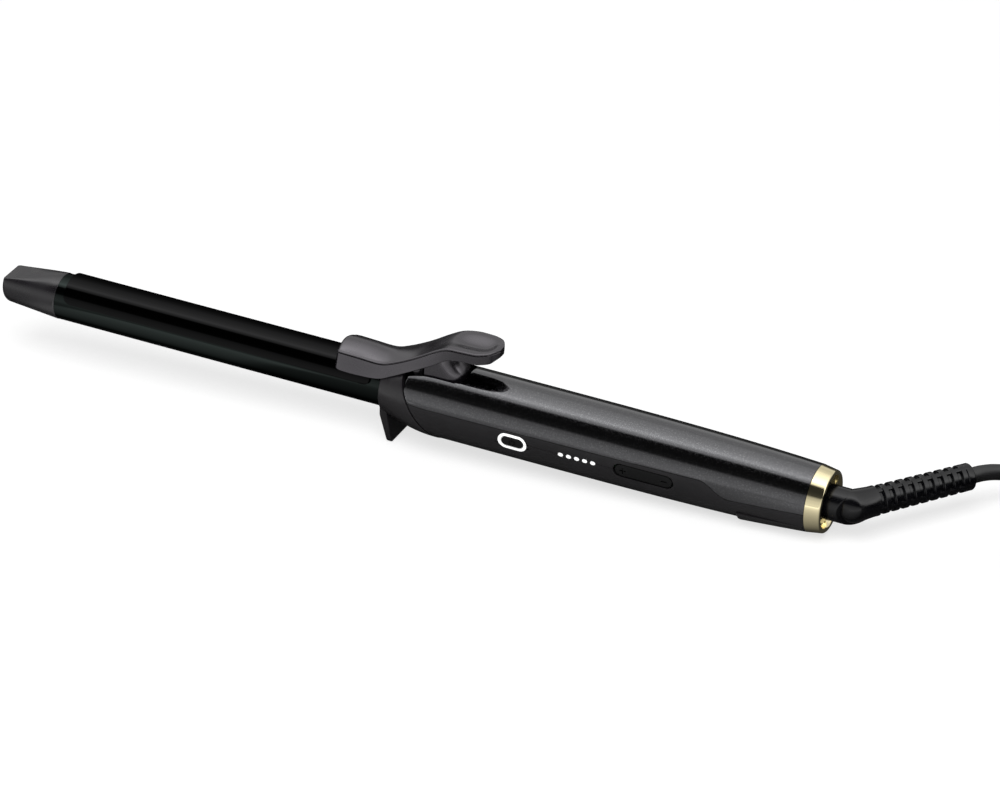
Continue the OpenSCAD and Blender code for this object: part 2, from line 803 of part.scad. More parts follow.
// Thumb lever: a saddle over the clamp plate, a rising arm and a dished thumb pad.
// Each row is [station, edge height, underside height, half width at the edge,
// half width at the underside, fall from the edge to the middle of the top].
lever_front = -clamp_rear - saddle_len;
edge_half = lever_w / 2;
foot_half = lever_w / 2 + lever_flare;
pad_half = pad_w / 2;
lever_form = [
    [lever_front, saddle_z - 0.7, 7, edge_half - 0.8, foot_half - 0.9, 0.4 - crown],
    [lever_front + 2.2, saddle_z, 5.6, edge_half, foot_half, -crown],
    [-10, saddle_z - 0.2, 5.5, edge_half, foot_half, -crown],
    [-1, saddle_z - 0.4, 6.3, edge_half, foot_half, 0.6 - crown],
    [5, saddle_z + 1.5, 9, edge_half, foot_half - 0.1, 1.2 - crown],
    [14, saddle_z + 6.1, 13.8, edge_half, foot_half - 0.4, -0.6],
    [22.5, pad_z - 3.6, 18.6, edge_half + 0.3, edge_half + 1, -0.1],
    [28, pad_z - 0.9, pad_z - 1.4 - lever_edge, pad_half - 0.7, pad_half - 0.4, 0.4],
    [34, pad_z, pad_z - lever_edge, pad_half, pad_half - 0.2, pad_dish],
    [40, pad_z + 0.2, pad_z - lever_edge, pad_half - 0.3, pad_half - 0.6, pad_dish],
    [44.5, pad_z + 0.6, pad_z + 0.4 - lever_edge, pad_half - 2, pad_half - 2.4, pad_dish - 0.2],
    [pad_end - 1.2, pad_z + 1, pad_z + 1.4 - lever_edge, pad_half - 4.8, pad_half - 5.4, 0.3],
    [pad_end, pad_z + 0.7, pad_z + 2.2 - lever_edge, 2, 1.6, 0]];
rim_r = 1.1;

// Cross-section of the lever, with a rounded rim at each top edge
function lever_section(q) = let (top = q[1], w = q[3], side = [[q[4], q[2]], [w, top - rim_r],
    [w - 0.3 * rim_r, top - 0.3 * rim_r], [w - rim_r, top], [0.6 * (w - rim_r), top - 0.65 * q[5]]])
    concat([for (p = side) [q[0], p[0], p[1]]], [[q[0], 0, top - q[5]]],
        [for (p = backwards(side)) [q[0], -p[0], p[1]]]);

// Solid through a row of cross-sections that have the same number of points
module loft(rows) {
    n = len(rows);
    m = len(rows[0]);
    polyhedron(points = [for (r = rows) each r],
        faces = concat([[for (k = [0:m - 1]) k]], [[for (k = [m - 1:-1:0]) (n - 1) * m + k]],
            [for (i = [0:n - 2], k = [0:m - 1]) let (a = i * m, b = a + m, j = (k + 1) % m)
                each [[a + k, b + k, b + j], [a + k, b + j, a + j]]]));
}

module thumb_lever() {
    form = curve(lever_form, 3);
    roof = [for (q = form) if (q[0] > -4 && q[0] < 28.5) [q[0], q[1] - lever_wall]];
    back = roof[len(roof) - 1][0];
    lug_r = pin_d / 2 + 1;
    lug_y = foot_half - 0.8;
    color(charcoal) stand() difference() {
        union() {
            difference() {
                union() {
                    difference() {
                        loft([for (q = form) lever_section(q)]);
                        // hollow between the side walls
                        side_cut(concat(roof, [[back, 4], [roof[0][0], 4]]), lever_w - 2 * lever_wall);
                    }
                    // lugs that take the hinge pin
                    for (s = [0, 1]) mirror([0, s, 0]) translate([0, lug_y, 0]) rotate([90, 0, 0])
                        linear_extrude(height = lug_y - edge_half + lever_wall) translate([pin_x, pin_z]) union() {
                            circle(r = lug_r);
                            polygon([[-lug_r, 0], [lug_r, 0], [3.4, 2.6], [-0.6, 1.6]]);
                        }
                }
                handle_body(-collar_proud - play, 0, 46);
            }
            // leg that reaches through the slot and stands on the clamp spring
            intersection() {
                translate([0, 0, leg_z]) linear_extrude(height = big)
                    round_backed(leg_front, leg_rear, leg_w, leg_corner);
                side_cut(concat([for (q = form) [q[0], q[1] - lever_wall / 2 - 0.5]],
                    [[pad_end, -big], [lever_front, -big]]));
            }
        }
        // seat round the clamp plate, and room over the barrel
        rod(-big, -clamp_rear + play, clamp_out + 0.02);
        rod(-clamp_rear, 1, barrel_r + 1.5);
        rivet_holes(0.03);
        translate([pin_x, big, pin_z]) rotate([90, 0, 0])
            cylinder(h = big - pin_near + seat, r = pin_d / 2 + run);
    }
}

// Clamp spring: a closed-end coil between the cup's floor and the lever's leg
module clamp_spring() {
    turns = 5;
    steps = 12;
    r = spring_d / 2;
    h = leg_z - cup_floor - 2 * seat - spring_wire;
    wire = [for (i = [0:turns * steps]) [r * cos(360 * i / steps), r * sin(360 * i / steps), h * i / (turns * steps)]];
    color(steel) stand() translate([spring_x, 0, cup_floor + seat + spring_wire / 2])
        coil_sweep(wire, spring_wire / 2, 6);
}

// Round bar with `sides` sides swept along the points p
function unit(v) = v / norm(v);
function along(p, i) = unit(p[min(len(p) - 1, i + 1)] - p[max(0, i - 1)]);
function ring_at(p, i, r, sides) = let (t = along(p, i), a = unit(cross([0, 0, 1], t)), b = cross(t, a))
    [for (k = [0:sides - 1]) let (turn = 360 * (k + 0.5) / sides) p[i] + r * cos(turn) * a + r * sin(turn) * b];
module coil_sweep(p, r, sides) {
    n = len(p);
    polyhedron(points = [for (i = [0:n - 1]) each ring_at(p, i, r, sides)],
        faces = concat([[for (k = [0:sides - 1]) k]], [[for (k = [sides - 1:-1:0]) (n - 1) * sides + k]],
            [for (i = [0:n - 2], k = [0:sides - 1]) let (a = i * sides, b = a + sides, j = (k + 1) % sides)
                each [[a + k, b + k, b + j], [a + k, b + j, a + j]]]));
}

neck_start = handle_len - 16;            // inner end of the swivel's neck
hub_len = 8;                             // in front of the neck, for the slip rings
shoulder_x = handle_len - 0.7;           // where the swivel's barrel steps down to its neck
clip_x = neck_start + 2;
clip_t = 0.8;                            // thickness of the clip that holds the neck in its bush
bush_x = clip_x + clip_t + play;
elbow_x = ring_end + swivel_len;
sleeve_r = sleeve_d / 2;

module swivel_bush() {
    color(nylon) stand() difference() {
        union() {
            rod(bush_x, shoulder_x - play, ring_bore - seat);
            rod(bush_x, bush_x + 4, skin(bush_x + 4) - shell_wall - seat);
        }
        rod(neck_start, handle_len, neck_d / 2 + run);
    }
}

// Sprung leaves that carry current to the slip rings, one from each side
module contact_leaves() {
    leaf_z = neck_d / 2 - 0.6 + play;
    leaf_t = 0.4;
    rise = 3;
    color(brass) stand() for (k = [0, 1]) mirror([0, k, 0]) {
        x = neck_start - 3.6 - 3.4 * k;
        translate([x, -4, leaf_z]) cube([2, 5, leaf_t]);
        translate([x, -4 - leaf_t, leaf_z]) cube([2, leaf_t, rise]);
        translate([x, -4 - leaf_t, leaf_z + rise]) cube([bush_x - x, 2, leaf_t]);
    }
}

module swivel_body() {
    color(gloss_black) difference() {
        union() {
            stand() difference() {
                union() {
                    rod(shoulder_x, elbow_x + swivel_d / 2, swivel_d / 2);
                    rod(neck_start, shoulder_x + 1, neck_d / 2);
                    rod(neck_start - hub_len, neck_start + 1, neck_d / 2 - 1.6);
                }
                // groove for the clip
                difference() {
                    rod(clip_x, clip_x + clip_t + 0.2, neck_d);
                    rod(clip_x - 1, clip_x + 3, neck_d / 2 - 0.8);
                }
                // slanting cut along the sleeve
                translate([elbow_x + 0.1 * swivel_d, 0, 0]) rotate([0, 0, elbow_turn - 1])
                    translate([-big, -big, -big / 2]) cube([2 * big, big, big]);
            }
            at_elbow() {
                sphere(r = swivel_d / 2 - 0.5);
                rotate([0, 90, 0]) cylinder(h = 7, r1 = swivel_d / 2 - 0.55, r2 = sleeve_r);
                rotate([0, 90, 0]) cylinder(h = sleeve_len, r = sleeve_r);
            }
        }
        at_elbow() translate([sleeve_len, -big, -big]) cube(2 * big);
    }
}

// A station on the axis, once the iron is set down
function set_down(x) = [(x - foot_x) * cos(tilt) + foot_drop * sin(tilt), 0,
    foot_drop * cos(tilt) - (x - foot_x) * sin(tilt)];

elbow_at = set_down(elbow_x) + [0, 0, elbow_rise];

module at_elbow() {
    translate(elbow_at) rotate([0, 0, elbow_turn]) children();
}

module swivel_clip() {
    color(steel) stand() difference() {
        rod(clip_x + 0.1, clip_x + 0.1 + clip_t, neck_d / 2 + 1.4);
        rod(clip_x - 1, clip_x + 3, neck_d / 2 - 0.75);
        translate([clip_x - 1, -neck_d / 2 + 2, 0]) cube([3, neck_d - 4, big]);
    }
}

module slip_rings() {
    color(brass) stand() for (k = [0, 1]) difference() {
        rod(neck_start - 3.6 - 3.4 * k, neck_start - 1.6 - 3.4 * k, neck_d / 2 - 0.6);
        rod(neck_start - 12, neck_start, neck_d / 2 - 1.55);
    }
}

// Ribbed strain relief with four spines across its grooves
module strain_relief() {
    lip = 3.2;
    spine_turn = 18;
    pitch = (relief_len - lip) / rib_count;
    core = relief_d / 2 - groove;
    core_end = relief_end_d / 2 - groove;
    module cone(x1, x2, r1, r2) {
        translate([x1, 0, 0]) rotate([0, 90, 0]) cylinder(h = x2 - x1, r1 = r1, r2 = r2, $fn = 32);
    }
    function rib_r(x) = relief_d / 2 + (relief_end_d - relief_d) / 2 * x / relief_len;
    color(gloss_black) at_elbow() translate([sleeve_len, 0, 0]) union() {
        cone(0, relief_len - 0.5, core, core_end);
        for (i = [0:rib_count - 1]) {
            x = i * pitch + pitch * 0.46;
            cone(x, x + pitch * 0.52, rib_r(x), rib_r(x + pitch * 0.52));
        }
        cone(relief_len - lip, relief_len - 0.6, relief_end_d / 2, relief_end_d / 2);
        cone(relief_len - 0.6, relief_len, relief_end_d / 2, relief_end_d / 2 - 0.6);
        for (a = [spine_turn:90:360]) rotate([a, 0, 0]) translate([0, 0, -0.9])
            cube([relief_len - 1, relief_end_d / 2 - 0.15, 1.8]);
    }
}

// Route of the free cord from the strain relief to the coil, on the table top
relief_way = [cos(elbow_turn), sin(elbow_turn), 0];
relief_end = elbow_at + (sleeve_len + relief_len) * relief_way;
lead_route = [[4, 4.8, -0.1], [9, 9.2, -0.9], [15, 12.6, -2.4], [22, 14.6, -4.6], [30, 15.1, -7.1],
    [38, 15.1, -9.1], [46, 15.1, -10.2], [54, 15.1, -10.6], [62, 15.1, -10.7]];
coil_at = [298, 16, 0];
lead_points = concat([relief_end, relief_end + 2 * relief_way],
    [for (q = curve(lead_route, 2)) relief_end + [q[0], q[1], max(q[2], cord_d / 2 - relief_end[2])]]);

module cord_lead() {
    color(gloss_black) coil_sweep(lead_points, cord_d / 2, 10);
}

module cord_coil() {
    soft = cord_d / 2;
    color(gloss_black) translate(coil_at) rotate_extrude($fn = 96) translate([coil_r - coil_w / 2, 0])
        polygon([[soft, 0], [coil_w - soft, 0], [coil_w, soft], [coil_w, coil_h - soft],
            [coil_w - soft, coil_h], [soft, coil_h], [0, coil_h - soft], [0, soft]]);
}

tie_w = 9;
tie_t = 1;

// Strap over the coil, opposite the iron
module cord_tie() {
    w = coil_w + 2 * seat + 2 * tie_t;
    color(graphite) translate(coil_at) rotate([0, 0, -90]) translate([coil_r, 0, 0]) difference() {
        translate([-w / 2, -tie_w / 2, 0]) cube([w, tie_w, coil_h + seat + tie_t]);
        translate([-w / 2 + tie_t, -tie_w / 2 - 1, -1]) cube([w - 2 * tie_t, tie_w + 2, coil_h + seat + 1]);
        translate([-coil_r, 0, -1]) difference() {
            cylinder(h = coil_h + 1 + seat, r = coil_r + coil_w / 2 + seat);
            cylinder(h = coil_h + 3, r = coil_r - coil_w / 2 - seat);
        }
    }
}

// Short stretch of cord from the coil to the plug
plug_at = [370, 25.5, plug_t / 2];
neck_len = 12;
tail_route = [[330, 45, 20], [336, 39.8, 18.5], [342, 35, 15.5], [348, 31, 12], [354, 28, 9],
    [360, 26.3, 7.4], [366, 25.6, 6.9]];

module plug_tail() {
    color(gloss_black)
        coil_sweep(concat(curve(tail_route, 2), [plug_at - [1, 0, 0], plug_at]), cord_d / 2, 10);
}

// Flat plug: its plan and its side view pushed through each other
module plug_body() {
    corner = 3;
    half = plug_w / 2;
    shoulder = 4;
    plan = concat([[0, 0], [0, 6.4], [2.5, 7.2]],
        [for (a = [0:30:60]) [7 + shoulder * sin(a), half - shoulder * (1 - sin(30 + a))]],
        [for (a = [90:-30:0]) [plug_len - corner + corner * cos(a), half - corner + corner * sin(a)]]);
    edge = 1.5;
    side = concat([[0, 0], [0, plug_t / 2 - 1.1], [6, plug_t / 2]],
        [for (a = [90:-30:0]) [plug_len - edge + edge * cos(a), plug_t / 2 - edge + edge * sin(a)]]);
    color(gloss_black) translate(plug_at) {
        rotate([0, 90, 0]) cylinder(h = neck_len + 1, r1 = 4.4, r2 = 5.6);
        for (x = [2:3:11]) translate([x, 0, 0]) rotate([0, 90, 0]) cylinder(h = 1.4, r = 5.9);
        translate([neck_len, 0, 0]) intersection() {
            linear_extrude(height = 2 * plug_t, center = true)
                polygon(concat(plan, [for (q = backwards(plan)) [q[0], -q[1]]]));
            rotate([90, 0, 0]) linear_extrude(height = 2 * plug_w, center = true)
                polygon(concat(side, [for (q = backwards(side)) [q[0], -q[1]]]));
        }
    }
}

module plug_pins() {
    start = plug_at[0] + neck_len + plug_len;
    color(brass) for (s = [-1, 1]) translate([0, plug_at[1] + s * plug_pin_gap / 2, plug_at[2]]) {
        rod(start, start + plug_pin_len - 1.4, plug_pin_d / 2);
        translate([start + plug_pin_len - 1.4, 0, 0]) rotate([0, 90, 0])
            cylinder(h = 1.4, r1 = plug_pin_d / 2, r2 = plug_pin_d / 2 - 0.9);
    }
}

barrel_tube();
cool_tip();
heater_plate();
heat_spreader_upper();
heat_spreader_lower();
thermal_fuse();
barrel_bush();
front_collar();
upper_shell();
lower_shell();
heel_pad();
shell_screws();
end_ring();
control_board();
key_switches();
lamp_lenses();
light_ring();
power_button();
rocker_pivot();
temperature_rocker();
hinge_bracket();
hinge_pin();
clamp_spring();
clamp_plate();
clamp_rivets();
thumb_lever();
swivel_bush();
contact_leaves();
swivel_body();
swivel_clip();
slip_rings();
strain_relief();
cord_lead();
cord_coil();
cord_tie();
plug_tail();
plug_body();
plug_pins();
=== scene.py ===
# Curling iron with a spring clamp, a thumb lever, a rest foot and a swivel cord.
# Pieces are modelled in millimetres about the iron's own axis, with stations counted
# from the front of the collar, and are then set down where the frame says.
import json
import math
import bpy
from mathutils import Matrix, Vector


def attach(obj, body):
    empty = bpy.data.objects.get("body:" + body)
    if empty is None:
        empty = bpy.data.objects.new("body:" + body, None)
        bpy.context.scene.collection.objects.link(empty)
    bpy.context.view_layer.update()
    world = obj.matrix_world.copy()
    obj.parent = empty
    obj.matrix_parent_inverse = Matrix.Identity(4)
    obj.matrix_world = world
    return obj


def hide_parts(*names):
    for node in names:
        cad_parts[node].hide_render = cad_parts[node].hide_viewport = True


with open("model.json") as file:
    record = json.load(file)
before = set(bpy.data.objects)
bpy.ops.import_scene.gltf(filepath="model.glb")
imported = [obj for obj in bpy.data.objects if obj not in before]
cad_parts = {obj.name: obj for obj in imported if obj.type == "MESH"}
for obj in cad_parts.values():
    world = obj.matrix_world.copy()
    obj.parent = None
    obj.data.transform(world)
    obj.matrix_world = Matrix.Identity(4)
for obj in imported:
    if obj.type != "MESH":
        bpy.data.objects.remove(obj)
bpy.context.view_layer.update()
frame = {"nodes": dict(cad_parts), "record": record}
mm = 0.001

camera = {"place": (0.7593, -1.5500, 0.9777), "azimuth": 24.752, "elevation": 29.154, "lens": 180,
          "sensor": 36, "reach": 20}


def addCamera():
    bpy.ops.object.camera_add(location=camera["place"])
    eye = bpy.context.object
    eye.name = "camera"
    eye.rotation_euler = (math.radians(90 - camera["elevation"]), 0, math.radians(camera["azimuth"]))
    eye.data.lens = camera["lens"]
    eye.data.sensor_width = camera["sensor"]
    eye.data.clip_end = camera["reach"]
    bpy.context.scene.camera = eye


addCamera()

swivelJoint = next(j for j in frame["record"]["behaviour"]["joints"] if j["name"] == "cord_swivel")

handle = {
    "length": 181.4,      # from the collar's front to the end ring
    "radius": 15.5,       # at its fullest
    "endRadius": 13.5,    # at the end ring
    "frontRadius": 10.6,  # at the collar's front
    "bell": 24,           # length of the bell behind the collar
    "taperFrom": 50,      # station where the taper starts
    "wall": 2,
}
# where the cord turns away: its station, its turn in degrees, and what stands between it and the cord
elbow = {"station": 196.6, "rise": 0.0008, "turn": 51, "sleeve": 9.6, "relief": 42}

axisWay = Vector(swivelJoint["axis"]).normalized()
tilt = math.atan2(-axisWay.z, axisWay.x)
setDown = (Matrix.Translation(Vector(swivelJoint["pos_m"])) @ Matrix.Rotation(tilt, 4, "Y")
           @ Matrix.Scale(mm, 4) @ Matrix.Translation((-handle["length"], 0, 0)))
lift = setDown.inverted()
elbowAt = setDown @ Vector((elbow["station"], 0, 0)) + Vector((0, 0, elbow["rise"]))
elbowPlace = Matrix.Translation(elbowAt) @ Matrix.Rotation(math.radians(elbow["turn"]), 4, "Z") @ Matrix.Scale(mm, 4)

cord = {
    "diameter": 0.0064,
    "length": 2.4,
    # from the boot's end, in metres
    "lead": [(0.004, 0.0048, -0.0001), (0.009, 0.0092, -0.0009), (0.015, 0.0126, -0.0024), (0.022, 0.0146, -0.0046),
             (0.030, 0.0151, -0.0071), (0.038, 0.0151, -0.0091), (0.046, 0.0151, -0.0102), (0.054, 0.0151, -0.0106)],
    "coilAt": (0.298, 0.016),
    # radius and height of each turn, in millimetres
    "turns": [(39.2, 3.2), (32.8, 3.2), (26.4, 3.2), (26.4, 9.6), (26.4, 16.0), (26.4, 22.4),
              (32.8, 22.4), (32.8, 16.0), (32.8, 9.6), (39.2, 9.6), (39.2, 16.0)],
    "lastTurn": (39.2, 22.4),
    "enter": 90,          # where the lead meets the coil, in degrees
    "leave": 43,          # where the tail leaves it
    "perTurn": 24,
    "step": 0.2,          # share of a turn in which it moves over to the next
    "swing": (3.5, -2.4), # how far the last turn moves out and down as it leaves
    # to the plug, in metres
    "tail": [(0.336, 0.0398, 0.0185), (0.342, 0.035, 0.0155), (0.348, 0.031, 0.012), (0.354, 0.028, 0.009),
             (0.360, 0.0263, 0.0074), (0.366, 0.0256, 0.0069), (0.370, 0.0255, 0.00685), (0.376, 0.0255, 0.00685)],
}


def ease(t):
    return t * t * (3 - 2 * t)


def coilPoints():
    middle = Vector((*cord["coilAt"], 0))
    rings = cord["turns"] + [cord["lastTurn"]]
    points = []

    def place(angle, radius, height):
        turn = math.radians(angle)
        points.append(middle + Vector((radius * math.cos(turn), radius * math.sin(turn), height)) * mm)

    for (radius, height), (nextRadius, nextHeight) in zip(rings, rings[1:]):
        for step in range(cord["perTurn"]):
            done = step / cord["perTurn"]
            move = ease(max(0, (done - 1 + cord["step"]) / cord["step"]))
            place(cord["enter"] - 360 * done, radius + (nextRadius - radius) * move,
                  height + (nextHeight - height) * move)
    (radius, height), (out, down) = cord["lastTurn"], cord["swing"]
    for done in (0, 0.2, 0.4, 0.6, 0.8, 1):
        turn = cord["enter"] + (cord["leave"] - cord["enter"]) * done
        place(turn, radius + out * done ** 2, height + down * done ** 2)
    return points


def addCord():
    reliefWay = Vector((math.cos(math.radians(elbow["turn"])), math.sin(math.radians(elbow["turn"])), 0))
    reliefEnd = elbowAt + (elbow["sleeve"] + elbow["relief"]) * mm * reliefWay
    points = [reliefEnd + reliefWay * step * mm for step in (-6, -2, 2)]
    points += [reliefEnd + Vector(offset) for offset in cord["lead"]]
    points += coilPoints()
    points += [Vector(point) for point in cord["tail"]]
    clearPick()
    bpy.ops.curve.primitive_bezier_curve_add()
    piece = bpy.context.object
    piece.name = "mains_cord"
    spline = piece.data.splines[0]
    spline.bezier_points.add(len(points) - 2)
    for knot, point in zip(spline.bezier_points, points):
        knot.co = (point.x, point.y, max(point.z, cord["diameter"] / 2))
        knot.handle_left_type = knot.handle_right_type = "AUTO"
    piece.data.dimensions = "3D"
    piece.data.resolution_u = 4
    piece.data.bevel_depth = cord["diameter"] / 2
    piece.data.bevel_resolution = 5
    piece.data.use_fill_caps = True
    return piece, reliefEnd


def clearPick():
    if bpy.context.mode != "OBJECT":
        bpy.ops.object.mode_set(mode="OBJECT")
    bpy.ops.object.select_all(action="DESELECT")


def pick(piece):
    clearPick()
    piece.select_set(True)
    bpy.context.view_layer.objects.active = piece


def editAll(piece):
    pick(piece)
    bpy.ops.object.mode_set(mode="EDIT")
    bpy.ops.mesh.select_mode(type="VERT")
    bpy.ops.mesh.select_all(action="SELECT")


def cleanUp(piece, reach=0.01, turnOut=True):
    editAll(piece)
    bpy.ops.mesh.remove_doubles(threshold=reach)
    if turnOut:
        bpy.ops.mesh.normals_make_consistent(inside=False)
    bpy.ops.object.mode_set(mode="OBJECT")


def drawLine(name, points):
    clearPick()
    bpy.ops.mesh.primitive_plane_add(size=1)
    piece = bpy.context.object
    piece.name = piece.data.name = name
    editAll(piece)
    bpy.ops.mesh.merge(type="CENTER")
    bpy.ops.transform.translate(value=points[0])
    for here, there in zip(points, points[1:]):
        bpy.ops.mesh.extrude_region_move(TRANSFORM_OT_translate={"value": Vector(there) - Vector(here)})
    bpy.ops.mesh.select_all(action="SELECT")
    return piece


def lathe(name, outline, steps=96):
    # outline is [station, radius] pairs, turned about the iron's axis
    piece = drawLine(name, [(station, 0, radius) for station, radius in outline])
    bpy.ops.mesh.spin(steps=steps, angle=math.tau, center=(0, 0, 0), axis=(1, 0, 0))
    cleanUp(piece)
    return piece


def pushOutline(name, outline, depth):
    # outline is a closed row of 3-D points in one plane, pushed along depth
    piece = drawLine(name, outline + [outline[0]])
    bpy.ops.mesh.remove_doubles(threshold=0.001)
    bpy.ops.mesh.select_all(action="SELECT")
    bpy.ops.mesh.edge_face_add()
    bpy.ops.mesh.extrude_region_move(TRANSFORM_OT_translate={"value": depth})
    cleanUp(piece, 0.0005)
    return piece


def sideBlock(name, outline, reach=30):
    # side view outline, [station, height], pushed right across the iron
    return pushOutline(name, [(x, -reach, z) for x, z in outline], (0, 2 * reach, 0))


def modify(piece, kind, **settings):
    # adds a modifier and applies it
    pick(piece)
    bpy.ops.object.modifier_add(type=kind)
    step = piece.modifiers[-1]
    for key, value in settings.items():
        setattr(step, key, value)
    bpy.ops.object.modifier_apply(modifier=step.name)


def carve(piece, tool, how="DIFFERENCE"):
    modify(piece, "BOOLEAN", operation=how, solver="EXACT", object=tool)
    bpy.data.objects.remove(tool)
    return piece


def trim(piece, tool):
    # keeps only what lies inside the tool
    return carve(piece, tool, "INTERSECT")


def soften(piece, width, segments, angle):
    # rounds every edge sharper than the angle
    cleanUp(piece, 0.02, turnOut=False)
    modify(piece, "BEVEL", width=width, segments=segments, limit_method="ANGLE", angle_limit=math.radians(angle),
           use_clamp_overlap=False, miter_outer="MITER_ARC")


def joinInto(piece, other):
    # one object of several meshes, each closed by itself
    pick(piece)
    other.select_set(True)
    bpy.ops.object.join()
    return piece


def settle(piece, matrix):
    # moves the mesh itself, and leaves the object at the origin
    pick(piece)
    piece.matrix_world = matrix
    bpy.ops.object.transform_apply(location=True, rotation=True, scale=True)
    return piece


def copyPiece(piece, matrix):
    pick(piece)
    bpy.ops.object.duplicate()
    return settle(bpy.context.object, matrix)


def coat(shape, finish):
    shape.data.materials.clear()
    shape.data.materials.append(finishes[finish].material)


def finishPiece(piece, finish, body, nodes, place=setDown, smooth=28):
    settle(piece, place)
    bpy.ops.object.shade_smooth_by_angle(angle=math.radians(smooth))
    modify(piece, "WEIGHTED_NORMAL", keep_sharp=True)
    coat(piece, finish)
    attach(piece, body)
    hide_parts(*nodes)


class Wire:
    # a socket that arithmetic works on, each step being a Math node
    def __init__(self, tree, socket):
        self.tree = tree
        self.socket = socket

    def calc(self, how, *others):
        node = self.tree.nodes.new("ShaderNodeMath")
        node.operation = how
        for slot, value in zip(node.inputs, (self, *others)):
            feed(self.tree, slot, value)
        return Wire(self.tree, node.outputs[0])

    def __add__(self, other):
        return self.calc("ADD", other)

    def __sub__(self, other):
        return self.calc("SUBTRACT", other)

    def __mul__(self, other):
        return self.calc("MULTIPLY", other)

    def __truediv__(self, other):
        return self.calc("DIVIDE", other)

    def __rsub__(self, other):
        return self.calc("MULTIPLY_ADD", -1.0, other)

    __radd__ = __add__
    __rmul__ = __mul__


def feed(tree, slot, value):
    if isinstance(value, Wire):
        tree.links.new(value.socket, slot)
    elif slot.type == "RGBA" and len(value) == 3:
        slot.default_value = (*value, 1)
    else:
        slot.default_value = value


class Nodes:
    # a node tree, with one method that makes any node
    def __init__(self, tree):
        self.tree = tree

    def make(self, kind, settings, inputs, out=0):
        node = self.tree.nodes.new(kind)
        for key, value in settings.items():
            setattr(node, key, value)
        for key, value in inputs.items():
            feed(self.tree, node.inputs[key], value)
        return Wire(self.tree, node.outputs[out])

    def between(self, value, low, high, start=0.0, end=1.0):
        return self.make("ShaderNodeMapRange", {"interpolation_type": "SMOOTHSTEP"},
                         {"Value": value, "From Min": low, "From Max": high, "To Min": start, "To Max": end})

    def blend(self, factor, first, second):
        return self.make("ShaderNodeMix", {"data_type": "RGBA"}, {0: factor, 6: first, 7: second}, 2)

    def split(self, place):
        node = self.tree.nodes.new("ShaderNodeSeparateXYZ")
        feed(self.tree, node.inputs[0], place)
        return [Wire(self.tree, out) for out in node.outputs]

    def ray(self, kind):
        # 1 for a ray of this kind
        return self.make("ShaderNodeLightPath", {}, {}, kind)

    def seen(self):
        # 1 where the camera looks at it, also through something clear
        return self.ray("Is Camera Ray").calc("MAXIMUM", self.ray("Is Transmission Ray"))


class Finish(Nodes):
    # a procedural material
    def __init__(self, name, base, roughness=0.5, metallic=0.0, level=0.5, coat=0.0):
        self.material = bpy.data.materials.new(name)
        self.material.use_nodes = True
        super().__init__(self.material.node_tree)
        self.shader = self.tree.nodes["Principled BSDF"]
        self.place = self.make("ShaderNodeTexCoord", {}, {}, "Object")
        self.set(Base_Color=base, Roughness=roughness, Metallic=metallic, Specular_IOR_Level=level, Coat_Weight=coat)

    def set(self, **inputs):
        for key, value in inputs.items():
            feed(self.tree, self.shader.inputs[key.replace("_", " ")], value)

    def noise(self, size, detail=2.0, rough=0.5, place=None):
        # size of the grain in millimetres
        return self.make("ShaderNodeTexNoise", {"noise_dimensions": "3D"},
                         {"Vector": place or self.place, "Scale": 1000 / size, "Detail": detail, "Roughness": rough})

    def bump(self, height, depth, strength=1.0):
        # depth in millimetres
        inputs = {"Height": height, "Distance": depth * mm, "Strength": strength}
        return self.make("ShaderNodeBump", {}, inputs, "Normal")

    def cells(self, size, out):
        # cell pattern, size in millimetres
        return self.make("ShaderNodeTexVoronoi", {"feature": "F1"}, {"Vector": self.place, "Scale": 1000 / size}, out)


def ceramicCoat(name, base, edge, roughness):
    # sprayed ceramic: glossy and near black, with a faint orange peel and soft wear
    skin = Finish(name, base, roughness, metallic=1.0)
    skin.set(Specular_Tint=(edge, edge, edge))
    peel = skin.noise(2.6, 1.0)
    haze = skin.noise(14, 3.0)
    skin.set(Roughness=skin.between(haze, 0.3, 0.75, roughness * 0.8, roughness * 1.35),
             Normal=skin.bump(peel, 0.002, 0.5))
    return skin


def shade(colour, share):
    return tuple(part * share for part in colour)


def satinNylon(name, base, level, roughness, grain=0.32, index=1.5, relief=0.35, tint=(1, 1, 1)):
    # moulded nylon with a fine spark-eroded grain
    skin = Finish(name, base, roughness, level=level)
    skin.set(IOR=index, Specular_Tint=tint)
    fine = skin.noise(grain)
    drift = skin.noise(9)
    skin.set(Base_Color=skin.blend(skin.between(drift, 0.35, 0.7), shade(base, 0.9), shade(base, 1.12)),
             Roughness=skin.between(drift, 0.3, 0.7, roughness - 0.04, roughness + 0.05),
             Normal=skin.bump(fine, 0.012, relief))
    return skin


flake = {"size": 0.24, "base": (0.076, 0.076, 0.081), "glint": (0.16, 0.16, 0.165), "share": 0.72, "roughness": 0.05,
         "clear": 0.03}


def flakeLacquer(name):
    # dark lacquer full of fine silver flake, under a clear coat
    skin = Finish(name, flake["base"], flake["roughness"], metallic=1.0, coat=1.0)
    skin.set(Coat_Roughness=flake["clear"])
    chance, blur, lean = skin.split(skin.cells(flake["size"], "Color"))
    glint = skin.between(chance, flake["share"], 1.0) * skin.between(skin.noise(1.6), 0.2, 0.8, 0.5, 1.0)
    skin.set(Base_Color=skin.blend(glint, flake["base"], flake["glint"]),
             Roughness=skin.between(blur, 0.5, 1, flake["roughness"], flake["roughness"] + 0.22),
             Normal=skin.bump(lean, 0.004, 0.3))
    return skin


